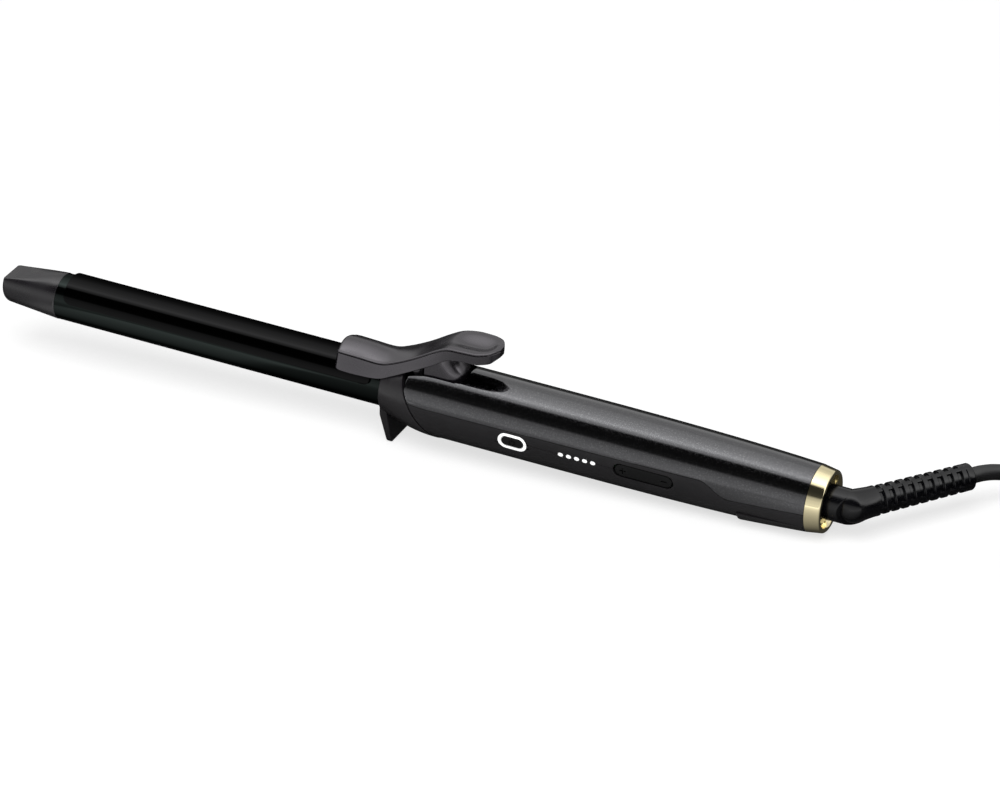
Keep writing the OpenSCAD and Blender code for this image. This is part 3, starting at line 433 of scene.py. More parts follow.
def plated(name, base, roughness, brushed=0.0):
    # plated or drawn metal
    metal = Finish(name, base, roughness, metallic=1.0)
    haze = metal.noise(5, 3.0)
    metal.set(Roughness=metal.between(haze, 0.3, 0.75, roughness * 0.75, roughness * 1.4),
              Base_Color=metal.blend(metal.between(haze, 0.3, 0.8), base, shade(base, 0.95)))
    if brushed:
        lines = metal.make("ShaderNodeMapping", {}, {"Vector": metal.place, "Scale": (0.06, 1, 1)})
        metal.set(Normal=metal.bump(metal.noise(0.25, place=lines), brushed))
    return metal


def lampWhite(name):
    # lit diffuser, its glow a little uneven in small soft patches
    lens = Finish(name, (0.92, 0.93, 0.92), 0.3)
    cloud = lens.noise(1.2, 1.0)
    lens.set(Emission_Color=lens.blend(lens.between(cloud, 0.3, 0.7), (0.93, 0.95, 0.95), (1.0, 1.0, 1.0)),
             Emission_Strength=0.55, Roughness=lens.between(cloud, 0.3, 0.7, 0.25, 0.36))
    return lens


def boardGreen(name):
    # lacquered board with faint tracks
    skin = Finish(name, (0.05, 0.22, 0.11), 0.35)
    grid = skin.make("ShaderNodeTexBrick", {"offset": 0.0},
                     {"Vector": skin.place, "Scale": 260.0, "Mortar Size": 0.09, "Color1": (0.03, 0.17, 0.08),
                      "Color2": (0.04, 0.2, 0.1), "Mortar": (0.12, 0.34, 0.16)}, "Color")
    skin.set(Base_Color=grid, Normal=skin.bump(skin.noise(1.5), 0.02))
    return skin


def wovenStrap(name):
    # hook and loop strap: a tight weave under a short pile
    skin = Finish(name, (0.016, 0.016, 0.017), 0.85, level=0.25)
    pile = skin.noise(0.35, 3.0, 0.7)
    weave = skin.cells(0.8, "Distance")
    skin.set(Base_Color=skin.blend(pile, (0.008, 0.008, 0.009), (0.045, 0.045, 0.048)),
             Roughness=skin.between(pile, 0.2, 0.8, 0.75, 0.95), Normal=skin.bump(pile + weave * 0.6, 0.15, 0.8))
    return skin


finishes = {
    "barrel": ceramicCoat("barrel_coat", (0.021, 0.026, 0.0245), 0.5, 0.09),
    "clamp": ceramicCoat("clamp_coat", (0.0128, 0.0128, 0.0130), 0.45, 0.06),
    "charcoal": satinNylon("charcoal_nylon", (0.0092, 0.0080, 0.0100), 0.75, 0.28, relief=0.2),
    "thumb": satinNylon("lever_nylon", (0.0062, 0.0052, 0.0070), 0.85, 0.24, index=1.7, relief=0.1,
                        tint=(0.98, 0.94, 1.0)),
    "collar": satinNylon("collar_nylon", (0.0108, 0.0096, 0.0112), 0.65, 0.34, relief=0.25),
    "lacquer": flakeLacquer("flake_lacquer"),
    "graphite": satinNylon("graphite_satin", (0.0125, 0.0116, 0.0130), 0.42, 0.36, 0.4),
    "gold": plated("pale_gold_plating", (0.98, 0.87, 0.55), 0.10),
    "lamp": lampWhite("white_diffuser"),
    "key": satinNylon("key_black", (0.0035, 0.0035, 0.0038), 0.35, 0.34, 0.4),
    "boot": satinNylon("boot_elastomer", (0.0018, 0.0018, 0.0027), 0.45, 0.18, 1.2),
    "cord": satinNylon("cord_sheath", (0.010, 0.010, 0.0105), 0.6, 0.40, 0.5),
    "steel": plated("bright_steel", (0.60, 0.61, 0.63), 0.24, 0.01),
    "brass": plated("brass_pin", (0.78, 0.60, 0.30), 0.22, 0.008),
    "alloy": plated("extruded_alloy", (0.72, 0.73, 0.74), 0.38, 0.02),
    "ceramic": satinNylon("fired_ceramic", (0.80, 0.79, 0.74), 0.4, 0.5, 0.6),
    "nylon": satinNylon("filled_nylon", (0.035, 0.035, 0.038), 0.3, 0.55, 0.4),
    "board": boardGreen("board_green"),
    "strap": wovenStrap("woven_strap"),
}
print("finishes made")
stage = {
    "size": 14,           # of the floor
    "glow": 0.68,         # how far the camera sees the floor lifted to white
    "shade": 0.42,        # how strongly the shadow shows on it
    "grey": 0.5,          # the world's even light
    "lamp": 26.0,
    "lampPlace": (0.15, -0.9, 1.7),
    "lampSize": 1.6,
}

# the floor in reflections, as painted shade and painted light: darker near the iron as a painted contact shadow,
# brighter the further it lies in front, brighter beside the handle, and brightest on a painted bright patch in front of
# the barrel; each range is a soft edge, in metres
paintedSheen = {"near": 0.002, "unit": 0.032, "rise": 0.2, "base": 0.3, "least": 0.03, "barrelSide": 0.75, "handleSide": 1.35,
         "handleEdge": (0.11, 0.17), "patchLeft": (-0.19, -0.173), "patchRight": (-0.062, -0.085),
         "patchFront": (-0.2, -0.1), "patch": 2}


def paintedFloorSheen(paper):
    x, y, z = paper.split(paper.place)
    front = (y * -1.0).calc("MAXIMUM", paintedSheen["near"]) / paintedSheen["unit"]
    level = (front.calc("LOGARITHM", math.e) * paintedSheen["rise"] + paintedSheen["base"]).calc("MAXIMUM", paintedSheen["least"])
    level = level * paper.between(x, *paintedSheen["handleEdge"], paintedSheen["barrelSide"], paintedSheen["handleSide"])
    patch = paper.between(x, *paintedSheen["patchLeft"]) * paper.between(x, *paintedSheen["patchRight"])
    patch = patch * paper.between(y, *paintedSheen["patchFront"])
    return level * (patch * paintedSheen["patch"] + 1)


def addFloor():
    # a pale floor that blends into white, and keeps the shadow; in reflections it shows painted shade and painted light
    # instead
    clearPick()
    bpy.ops.mesh.primitive_grid_add(x_subdivisions=8, y_subdivisions=8, size=stage["size"], location=(0, 0, 0))
    floor = bpy.context.object
    floor.name = "floor"
    paper = Finish("floor_paper", (0.78, 0.78, 0.78), 0.9, level=0.0)
    paper.set(Base_Color=paper.blend(paper.noise(400), (0.775, 0.775, 0.775), (0.785, 0.785, 0.785)))
    lifted = paper.make("ShaderNodeBsdfDiffuse", {}, {"Color": (stage["shade"],) * 3})
    glow = paper.make("ShaderNodeEmission", {}, {"Strength": stage["glow"]})
    toCamera = paper.make("ShaderNodeAddShader", {}, {0: lifted, 1: glow})
    # the floor's painted shade and painted light, seen only in reflections
    toGloss = paper.make("ShaderNodeEmission", {}, {"Strength": paintedFloorSheen(paper)})
    plain = Wire(paper.tree, paper.shader.outputs[0])
    plain = paper.make("ShaderNodeMixShader", {}, {0: paper.ray("Is Glossy Ray"), 1: plain, 2: toGloss})
    shown = paper.make("ShaderNodeMixShader", {}, {0: paper.seen(), 1: plain, 2: toCamera})
    feed(paper.tree, paper.tree.nodes["Material Output"].inputs["Surface"], shown)
    floor.data.materials.append(paper.material)


# brightness of the studio by the angle a reflection leaves at, round the iron's length:
# 0 is level towards the front, 90 straight up, 180 level towards the back
softboxes = [(-180, 0.04), (-90, 0.3), (-8, 0.85), (4, 0.95), (16, 0.8), (27, 0.58), (36, 0.05), (52, 0.03), (68, 0.03),
             (76, 1.5), (86, 2.9), (97, 2.1), (111, 1.55), (123, 1.25), (135, 0.85), (148, 0.72), (159, 0.78),
             (165, 0.7), (171, 0.06)]


def softboxLight(studio):
    x, y, z = studio.split(studio.make("ShaderNodeTexCoord", {}, {}, "Generated"))
    angle = z.calc("ARCTAN2", y * -1.0)
    along = studio.make("ShaderNodeMapRange", {}, {"Value": angle, "From Min": -math.pi, "From Max": math.pi})
    curve = studio.tree.nodes.new("ShaderNodeValToRGB")
    feed(studio.tree, curve.inputs[0], along)
    ramp = curve.color_ramp
    ramp.interpolation = "EASE"
    while len(ramp.elements) < len(softboxes):
        ramp.elements.new(0.5)
    peak = max(level for turn, level in softboxes)
    for mark, (turn, level) in zip(ramp.elements, softboxes):
        mark.position = (turn + 180) / 360
    for mark, (turn, level) in zip(ramp.elements, softboxes):
        share = level / peak
        mark.color = (share, share, share, 1)
    return Wire(studio.tree, curve.outputs[0]) * peak


def addStudio():
    world = bpy.data.worlds.new("studio")
    bpy.context.scene.world = world
    world.use_nodes = True
    world.node_tree.nodes.clear()
    studio = Nodes(world.node_tree)
    # soft boxes for reflections, even grey for the rest, white for the camera
    level = studio.ray("Is Glossy Ray").calc("MULTIPLY_ADD", softboxLight(studio) - stage["grey"], stage["grey"])
    level = studio.seen().calc("MULTIPLY_ADD", 1.0 - level, level)
    outlet = studio.tree.nodes.new("ShaderNodeOutputWorld")
    feed(studio.tree, outlet.inputs["Surface"], studio.make("ShaderNodeBackground", {}, {"Strength": level}))
    clearPick()
    bpy.ops.object.light_add(type="AREA", location=stage["lampPlace"])
    lamp = bpy.context.object
    lamp.name = "soft_lamp"
    lamp.data.shape = "DISK"
    lamp.data.size = stage["lampSize"]
    lamp.data.energy = stage["lamp"]
    lamp.rotation_euler = Vector((0, 0.9, -1.7)).to_track_quat("-Z", "Y").to_euler()
    lamp.visible_glossy = False


addFloor()
addStudio()
bpy.context.scene.view_settings.view_transform = "Standard"
print("stage made")


def skin(x):
    # the handle's radius: a bell behind the collar, then a long taper
    if x < handle["bell"]:
        rise = math.sin(math.pi / 2 * min(1, x / handle["bell"]))
        return handle["frontRadius"] + (handle["radius"] - handle["frontRadius"]) * rise
    far = max(0, (x - handle["taperFrom"]) / (handle["length"] - handle["taperFrom"]))
    return handle["radius"] - (handle["radius"] - handle["endRadius"]) * far ** 3.4


def spread(first, last, count):
    return [first + (last - first) * k / count for k in range(count + 1)]


def skinLine(first, last, inset, count):
    return [(x, skin(x) - inset) for x in spread(first, last, count)]


def ringLoop(outer, inner):
    return outer + inner[::-1] + [outer[0]]


def fan(start, end, count):
    # evenly spread angles, given in degrees
    return [math.radians(turn) for turn in spread(start, end, count)]


def circlePoints(radius, start, end, count, middle=(0, 0)):
    return [(middle[0] + radius * math.cos(t), middle[1] + radius * math.sin(t)) for t in fan(start, end, count)]


def barCorners(x, z, wide, tall):
    return [(x + u * wide, z + v * tall) for u, v in ((-0.5, -0.5), (0.5, -0.5), (0.5, 0.5), (-0.5, 0.5))]


def stadium(name, x, z, length, height, near, far, count=12):
    # upright stadium on the near side, from depth near to far
    half = (length - height) / 2
    outline = circlePoints(height / 2, -90, 90, count, (x + half, z))
    outline += circlePoints(height / 2, 90, 270, count, (x - half, z))
    return pushOutline(name, [(px, near, pz) for px, pz in outline], (0, far - near, 0))


def seamX(z):
    # station of the collar's rear seam at a height
    return 9.3 + 0.24 * max(0, 12 - z) ** 1.3


def seamBlock(shift):
    heights = spread(12, -24, 24)
    return sideBlock("seam", [(-60, 40), (9.3 + shift, 40)] + [(seamX(z) + shift, z) for z in heights]
                     + [(seamX(-24) + shift, -40), (-60, -40)])


parting = {"front": 1.9, "middle": 3.2, "rear": -2.3, "dip": 138, "dipLength": 13}


def partZ(x):
    # height of the line that parts the two shells
    dipEnd = parting["dip"] + parting["dipLength"]
    if x < parting["dip"]:
        return parting["front"] + (parting["middle"] - parting["front"]) * max(0, x - 15) / (parting["dip"] - 15)
    if x < dipEnd:
        fall = (1 - math.cos(math.pi * (x - parting["dip"]) / parting["dipLength"])) / 2
        return parting["middle"] + (parting["rear"] - parting["middle"]) * fall
    return parting["rear"] + 1.7 * (x - dipEnd) / (handle["length"] - dipEnd)


def partBlock(shift, top):
    stations = [-10, 15] + spread(parting["dip"], parting["dip"] + parting["dipLength"], 14) + [handle["length"] + 20]
    side = 40 if top else -40
    return sideBlock("parting", [(x, partZ(x) + shift) for x in stations]
                     + [(handle["length"] + 20, side), (-10, side)])


foot = {"drop": 21.8, "station": 4.4, "half": 8, "topHalf": 9, "corner": 1.8, "front": 3.4, "rear": 5.4}


def floorZ(x):
    # the floor, seen from the iron's own frame
    return -foot["drop"] + (x - foot["station"]) * math.tan(tilt)


barrel = {"radius": 9.5, "wall": 1.2, "front": -146, "rear": 11}


def makeBarrel():
    r, bore = barrel["radius"], barrel["radius"] - barrel["wall"]
    outer = [(x, r) for x in spread(barrel["front"] + 0.15, barrel["rear"], 24)]
    inner = [(barrel["front"], bore), (barrel["rear"], bore)]
    piece = lathe("barrel", ringLoop([(barrel["front"], r - 0.15)] + outer, inner), 128)
    finishPiece(piece, "barrel", "handle", ["barrel_tube"])


plate = {"inside": 9.8, "outside": 10.6, "front": -142, "rear": -4.5, "low": 2.74, "corner": 4, "rearCorner": 2}


def makeClampPlate():
    front, rear, low = plate["front"], plate["rear"], plate["low"]
    inner = [(x, plate["inside"]) for x in spread(front, rear, 20)]
    outer = [(x, plate["outside"]) for x in spread(front, rear, 20)]
    piece = lathe("clamp_sheet", ringLoop(outer, inner), 192)
    corner, small = plate["corner"], plate["rearCorner"]
    outline = [(front - 3, 30)] + [(front, 12)] + circlePoints(corner, 180, 270, 10, (front + corner, low + corner)) \
        + circlePoints(small, 270, 360, 6, (rear - small, low + small)) + [(rear, 12), (rear + 3, 30)]
    trim(piece, sideBlock("clamp_side", outline))
    soften(piece, 0.22, 2, 40)
    finishPiece(piece, "clamp", "clamp", ["clamp_plate"])


def loft(name, sections):
    # cross-sections drawn one by one, then bridged
    piece = None
    for section in sections:
        loop = drawLine(name, section + [section[0]])
        bpy.ops.object.mode_set(mode="OBJECT")
        piece = joinInto(piece, loop) if piece else loop
    editAll(piece)
    bpy.ops.mesh.remove_doubles(threshold=0.001)
    bpy.ops.mesh.select_all(action="SELECT")
    bpy.ops.mesh.bridge_edge_loops(type="SINGLE")
    bpy.ops.mesh.select_all(action="DESELECT")
    bpy.ops.mesh.select_non_manifold()
    bpy.ops.mesh.fill_holes(sides=0)
    cleanUp(piece, 0.001)
    return piece


tip = {"length": 25.3, "endRadius": 7.9, "rootRadius": 9.6, "facet": 4.6, "topRim": 1.4, "lowRim": 3.2,
       "plug": 9, "plugRadius": 8}


def smoothLess(a, b, soft):
    # the smaller of two, with a soft change between them
    share = min(1, max(0, 0.5 + 0.5 * (b - a) / soft))
    return b + (a - b) * share - soft * share * (1 - share)


def tipSection(x, r):
    # the flat on top is crisp at the nose, and fades into the round at the barrel
    step = x - barrel["front"] + tip["length"]
    far = min(1, step / tip["length"])
    flat = tip["facet"] + (barrel["radius"] - tip["facet"]) * far + 3 * far ** 4
    soft = 0.05 + 2.4 * far
    out = []
    for turn in spread(0, 360, 144)[:-1]:
        way = (math.cos(math.radians(turn)), math.sin(math.radians(turn)))
        rim = tip["topRim"] + (tip["lowRim"] - tip["topRim"]) * (0.5 - 0.5 * way[1])
        u = min(1, max(0, 1 - step / rim))
        here = r - rim * (1 - math.sqrt(1 - u * u))
        edge = flat - 0.5 * max(0, 1 - step / 0.7) ** 2
        out.append((x, here * way[0], smoothLess(here * way[1], edge, soft) if x < barrel["front"] else here * way[1]))
    return out


def makeCoolTip():
    end, small, root, plugR = barrel["front"], tip["endRadius"], tip["rootRadius"], tip["plugRadius"]
    tipX = end - tip["length"]
    line = [(tipX + step, small) for step in (0, 0.06, 0.18, 0.36, 0.6, 0.9, 1.3, 1.8, 2.4, tip["lowRim"])]
    line += [(x, small + (root - small) * k / 20) for k, x in enumerate(spread(line[-1][0], end - 0.6, 20)) if k]
    line += [(end - 0.2, root - 0.02), (end, root - 0.2), (end + 0.01, plugR + 0.2), (end + tip["plug"], plugR)]
    piece = loft("cool_tip", [tipSection(x, r) for x, r in line])
    finishPiece(piece, "charcoal", "handle", ["cool_tip"], smooth=40)


def makeCollar():
    outer = skinLine(0.35, 40, -0.25, 26)
    inner = [(2, 10.0)] + [(x, max(10.0, skin(x) - 2)) for x in spread(4, 40, 18)]
    piece = lathe("collar", [(0, 9.75), (0, 10.5)] + outer + inner[::-1] + [(1.9, 9.7), (0.15, 9.65), (0, 9.75)], 144)
    trim(piece, seamBlock(0))
    # leaning foot, thinner towards the edge that it stands on
    half, corner, drop = foot["half"], foot["corner"], foot["drop"]
    rightSide = circlePoints(corner, -90, 0, 6, (half - corner, corner - drop)) + [(foot["topHalf"], 0)]
    front = [(0, -drop)] + rightSide + [(-y, z) for y, z in rightSide[::-1]]
    stand = pushOutline("foot", [(-1, y, z) for y, z in front], (30, 0, 0))
    edge = [(x, floorZ(x)) for x in (foot["front"], foot["rear"])]
    trim(stand, sideBlock("foot_side", [(0, -5), (0, -10)] + edge + [(3.2, -9), (3.2, -5)]))
    soften(stand, 0.3, 2, 40)
    core = lathe("foot_core", [(-0.5, 0), (-0.5, skin(0) - 0.6)] + skinLine(0, 24, 0.6, 12) + [(24, 0)], 96)
    carve(stand, core)
    carve(piece, stand, "UNION")
    soften(piece, 0.18, 2, 42)
    finishPiece(piece, "collar", "handle", ["front_collar"])


def roundBacked(front, rear, half, corner):
    # plan outline with rounded rear corners
    return [(front, -half)] + circlePoints(corner, -90, 0, 10, (rear - corner, corner - half)) \
        + circlePoints(corner, 0, 90, 10, (rear - corner, half - corner)) + [(front, half)]


shells = {"tongue": 1.2, "seam": 0.4, "slot": 16.4, "slotRear": 35.6, "slotCorner": 4.3}


def shellWall():
    # thin wall with a tongue in front that reaches under the collar
    wall, tongue = handle["wall"], shells["tongue"]
    outer = skinLine(12, handle["length"], 0, 84)
    inner = skinLine(12, 36, wall + tongue, 12) + skinLine(36.01, handle["length"], wall, 30)
    piece = lathe("shell", ringLoop(outer, inner), 192)
    cutter = lathe("shell_front", ringLoop([(0, 25), (40, 25)], skinLine(0, 40, wall + 0.1, 26)), 192)
    trim(cutter, seamBlock(shells["seam"]))
    return carve(piece, cutter)


def makeUpperShell():
    piece = shellWall()
    trim(piece, partBlock(0.05, True))
    slot = roundBacked(0, shells["slotRear"], shells["slot"] / 2, shells["slotCorner"])
    carve(piece, pushOutline("leg_slot", [(x, y, 0) for x, y in slot], (0, 0, 40)))
    soften(piece, 0.22, 2, 35)
    finishPiece(piece, "lacquer", "handle", ["upper_shell"])


controls = {"row": -1.6, "power": (60.3, -2.2), "ring": (12.2, 6.9), "band": 1.1, "lamp": 81, "pitch": 3.4, "lamps": 5,
            "lens": (2.1, 1.6), "rocker": (115.7, 25.2, 6.0), "mark": (8.6, 2.6, 0.55)}
heel = {"start": 154, "length": 26.8, "arc": 58, "depth": 1.1}


def skinPlug(inset, first, last):
    # solid that follows the handle's skin, for cutting the controls to it
    return lathe("skin_plug", [(first, 0)] + skinLine(first, last, inset, 20) + [(last, 0)], 192)


def heelWedge(extra):
    arc = heel["arc"] + extra
    side = [(0, 0)] + [(60 * math.sin(t), -60 * math.cos(t)) for t in fan(-arc, arc, 6)]
    return pushOutline("heel_wedge", [(140, y, z) for y, z in side], (50, 0, 0))


def lampStations():
    return [controls["lamp"] + k * controls["pitch"] for k in range(controls["lamps"])]


def makeLowerShell():
    piece = shellWall()
    trim(piece, partBlock(-0.05, False))
    (px, pz), (length, height), (lensL, lensH) = controls["power"], controls["ring"], controls["lens"]
    row, (rx, rl, rh) = controls["row"], controls["rocker"]
    openings = [(px, pz, length + 0.2, height + 0.2), (rx, row, rl, rh)]
    openings += [(x, row, lensL + 0.2, lensH + 0.2) for x in lampStations()]
    for x, z, wide, tall in openings:
        carve(piece, stadium("opening", x, z, wide, tall, -30, -10))
    first, last = heel["start"] - 0.1, heel["start"] + heel["length"] + 0.1
    bed = lathe("heel_bed", ringLoop([(first, 18), (last, 18)], skinLine(first, last, heel["depth"], 12)), 96)
    trim(bed, heelWedge(0.4))
    carve(piece, bed)
    soften(piece, 0.18, 2, 35)
    # fine raised line between the light ring, the lamps and the rocker
    for near, far in ((px + length / 2 + 0.3, lampStations()[0] - 1.4), (lampStations()[-1] + 1.4, rx - rl / 2 - 0.3)):
        line = lathe("fine_line", ringLoop(skinLine(near, far, -0.14, 4), skinLine(near, far, 0.3, 4)), 192)
        corners = barCorners((near + far) / 2, row, far - near + 2, 0.32)
        trim(line, pushOutline("line_cut", [(x, -30, z) for x, z in corners], (0, 25, 0)))
        joinInto(piece, line)
    finishPiece(piece, "graphite", "handle", ["lower_shell"])


def makeHeelPad():
    first, last = heel["start"], heel["start"] + heel["length"]
    outer = [(x, skin(x) + 0.95 * (1 - (x - first) / heel["length"])) for x in spread(first, last, 12)]
    piece = lathe("heel_sole", ringLoop(outer, skinLine(first, last, heel["depth"] - 0.1, 12)), 144)
    trim(piece, heelWedge(0))
    edge = [(x, floorZ(x)) for x in (last + 2, first - 2)]
    trim(piece, sideBlock("heel_side", [(first - 2, 0), (last + 2, 0)] + edge))
    soften(piece, 0.3, 3, 35)
    finishPiece(piece, "graphite", "handle", ["heel_pad"])


def engrave(piece, outline, around, depth):
    # cuts an outline to a depth under the handle's skin; around is a station, a reach and a count of steps
    x, reach, count = around
    mark = pushOutline("mark", [(px, -30, pz) for px, pz in outline], (0, 18, 0))
    first, last = x - reach, x + reach
    trim(mark, lathe("mark_face", ringLoop([(first, 25), (last, 25)], skinLine(first, last, depth, count)), 96))
    carve(piece, mark)


def makeControls():
    (px, pz), (length, height), band = controls["power"], controls["ring"], controls["band"]
    ring = stadium("ring_glow", px, pz, length, height, -30, -12, 20)
    carve(ring, stadium("ring_hole", px, pz, length - 2 * band, height - 2 * band, -31, -11, 20))
    trim(ring, skinPlug(0.05, px - 10, px + 10))
    soften(ring, 0.15, 2, 40)
    finishPiece(ring, "lamp", "handle", ["light_ring"])
    capL, capH = length - 2 * band - 0.6, height - 2 * band - 0.6
    cap = stadium("power_cap", px, pz, capL, capH, -30, -12.4, 16)
    trim(cap, skinPlug(0.1, px - 10, px + 10))
    soften(cap, 0.3, 3, 40)
    # engraved power mark: an open circle with a bar at its top
    outer, inner = circlePoints(1.35, 125, 415, 24, (px, pz)), circlePoints(0.95, 415, 125, 24, (px, pz))
    engrave(cap, outer + inner, (px, 8, 8), 0.45)
    engrave(cap, barCorners(px, pz + 1, 0.4, 1.4), (px, 8, 8), 0.45)
    stem = stadium("power_stem", px, pz, 2.8, 2.8, -13.6, -12.2)
    joinInto(cap, stem)
    finishPiece(cap, "key", "power_button", ["power_button"])
    row, lamps = controls["row"], None
    for x in lampStations():
        lens = stadium("lens", x, row, *controls["lens"], -30, -9.3, 8)
        trim(lens, skinPlug(0.05, 75, 100))
        soften(lens, 0.2, 2, 40)
        lamps = joinInto(lamps, lens) if lamps else lens
    lamps.name = "lamp_row"
    finishPiece(lamps, "lamp", "handle", ["lamp_lenses"])
    rx, rl, rh = controls["rocker"]
    rocker = stadium("rocker_cap", rx, row, rl - 1.2, rh - 0.6, -30, -13, 20)
    trim(rocker, skinPlug(0.35, rx - 16, rx + 16))
    soften(rocker, 0.4, 3, 40)
    # engraved minus at the cord's end, plus at the other
    aside, long, thin = controls["mark"]
    for x, wide, tall in ((rx + aside, long, thin), (rx - aside, long, thin), (rx - aside, thin, long)):
        engrave(rocker, barCorners(x, row, wide, tall), (rx, 16, 12), 0.85)
    finishPiece(rocker, "key", "temperature_rocker", ["temperature_rocker"])


ring = {"length": 6.2, "front": 13.46, "lip": 12.6, "recess": 2.4, "bore": 7.3, "spigot": (9.2, 10.8)}


def makeEndRing():
    start = handle["length"]
    end = start + ring["length"]
    lip, wide, bore, recess, (low, high) = (ring[key] for key in ("lip", "front", "bore", "recess", "spigot"))
    outline = [(start + 0.02, 11.3), (start + 0.02, wide - 0.14), (start + 0.14, wide)]
    outline += [(x, wide + (lip - wide) * (x - start) / (end - 0.8 - start)) for x in spread(start + 0.3, end - 0.9, 5)]
    outline += [(end - 0.45, lip - 0.1), (end - 0.12, lip - 0.4), (end, lip - 0.9), (end, lip - 1.5),
                (end - 0.2, lip - 1.85), (end - 0.7, lip - 2.1), (end - recess, lip - 2.6), (end - recess, bore),
                (start - 1, bore), (start - 1, low), (start - 5, low), (start - 5, high), (start, 11.3)]
    piece = lathe("end_band", outline + [outline[0]], 160)
    finishPiece(piece, "gold", "handle", ["end_ring"], smooth=35)


lever = {
    "front": -19.3, "saddle": 13.4, "crown": 2.4, "pad": 28.4, "end": 48, "edge": 4.8, "half": 7.9, "flare": 1.6,
    "padHalf": 9.3, "dish": 1.7, "brim": 0.86, "wall": 1.8, "lip": 0.55, "crease": 0.7, "pin": (14.5, 15.2),
    # front, rear, width and foot of the leg, and how far its back leans forward at each height
    "leg": (18.3, 34.4, 15.2, 10.6), "legCorner": 7,
    "lean": [(14, 0.2), (16.5, 1.6), (19, 3.6), (22, 5.6), (26, 7.2), (32, 8.5)],
}


def leverForm():
    # station, edge height, underside, half width above and below, fall to the middle
    keys = ("front", "saddle", "crown", "pad", "edge", "half", "padHalf", "dish", "end")
    f, s, c, p, e, h, pad, dish, end = (lever[key] for key in keys)
    low = h + lever["flare"]
    return [
        (f - 1.4, s - 1.7, 8.2, h - 3.4, low - 3.8, 0.9 - c),
        (f - 1.15, s - 1, 7.4, h - 2.2, low - 2.5, 0.5 - c),
        (f - 0.4, s - 0.4, 6.5, h - 0.9, low - 1.1, 0.1 - c),
        (f + 1.6, s, 5.7, h, low, -c),
        (-10, s - 0.2, 5.5, h, low, -c),
        (-1, s - 0.4, 6.3, h, low, 0.6 - c),
        (5, s + 1.5, 9, h, low - 0.1, 1.2 - c),
        (14, s + 6.1, 13.8, h, low - 0.4, -0.6),
        (22.5, p - 3.6, 18.6, h + 0.3, h + 1, -0.1),
        (28, p - 0.9, p - 1.4 - e, pad - 0.7, pad - 0.4, 0.4),
        (34, p, p - e, pad, pad - 0.2, dish),
        (40, p + 0.2, p - e, pad - 0.3, pad - 0.6, dish),
        (43, p + 0.45, p + 0.3 - e, pad - 1.3, pad - 1.6, dish - 0.5),
        (45.4, p + 0.7, p + 0.6 - e, pad - 2.8, pad - 3.2, 0.1),
        (end - 1.2, p + 0.9, p + 1.4 - e, pad - 4.8, pad - 5.4, 0),
        (end, p + 0.7, p + 2.2 - e, 2, 1.6, 0),
    ]


def smoothRows(rows, steps):
    # a smooth curve through every row
    out = []
    for k in range(len(rows) - 1):
        a, b, c, d = rows[max(0, k - 1)], rows[k], rows[k + 1], rows[min(len(rows) - 1, k + 2)]
        for step in range(steps):
            t = step / steps
            out.append(tuple(0.5 * (2 * q + (r - p) * t + (2 * p - 5 * q + 4 * r - s) * t * t
                                    + (3 * q - p - 3 * r + s) * t ** 3) for p, q, r, s in zip(a, b, c, d)))
    return out + [tuple(rows[-1])]


def leverSection(row):
    x, top, under, wide, low, fall = row
    lip = min(lever["lip"], (top - under) / 4)
    crease = min(lever["crease"], wide / 6)
    half = [(low - 0.25, under), (low, under + 0.25)]
    half += [(low + (wide - low) * k / 4, under + (top - 2 * lip - under) * k / 4) for k in (1, 2, 3, 4)]
    # fine crease under the lip, then the rounded lip
    half += [(wide - back, top - drop * lip) for back, drop in
             ((0.05, 1.9), (crease, 1.8), (crease, 1.1), (0.12, 1), (0.04, 0.75), (0.14, 0.35), (0.42, 0.08), (0.9, 0))]
    # crowned where fall is below zero, a smooth dish inside a narrow rim where it is above
    for u in (0.95, 0.87, 0.8, 0.7, 0.6, 0.45, 0.3, 0.15):
        share = (1 + math.cos(math.pi * min(1, u / lever["brim"]))) / 2 if fall > 0 else 1 - u * u
        half.append(((wide - 0.9) * u, top - fall * share))
    return [(x, y, z) for y, z in half] + [(x, 0, top - fall)] + [(x, -y, z) for y, z in half[::-1]]


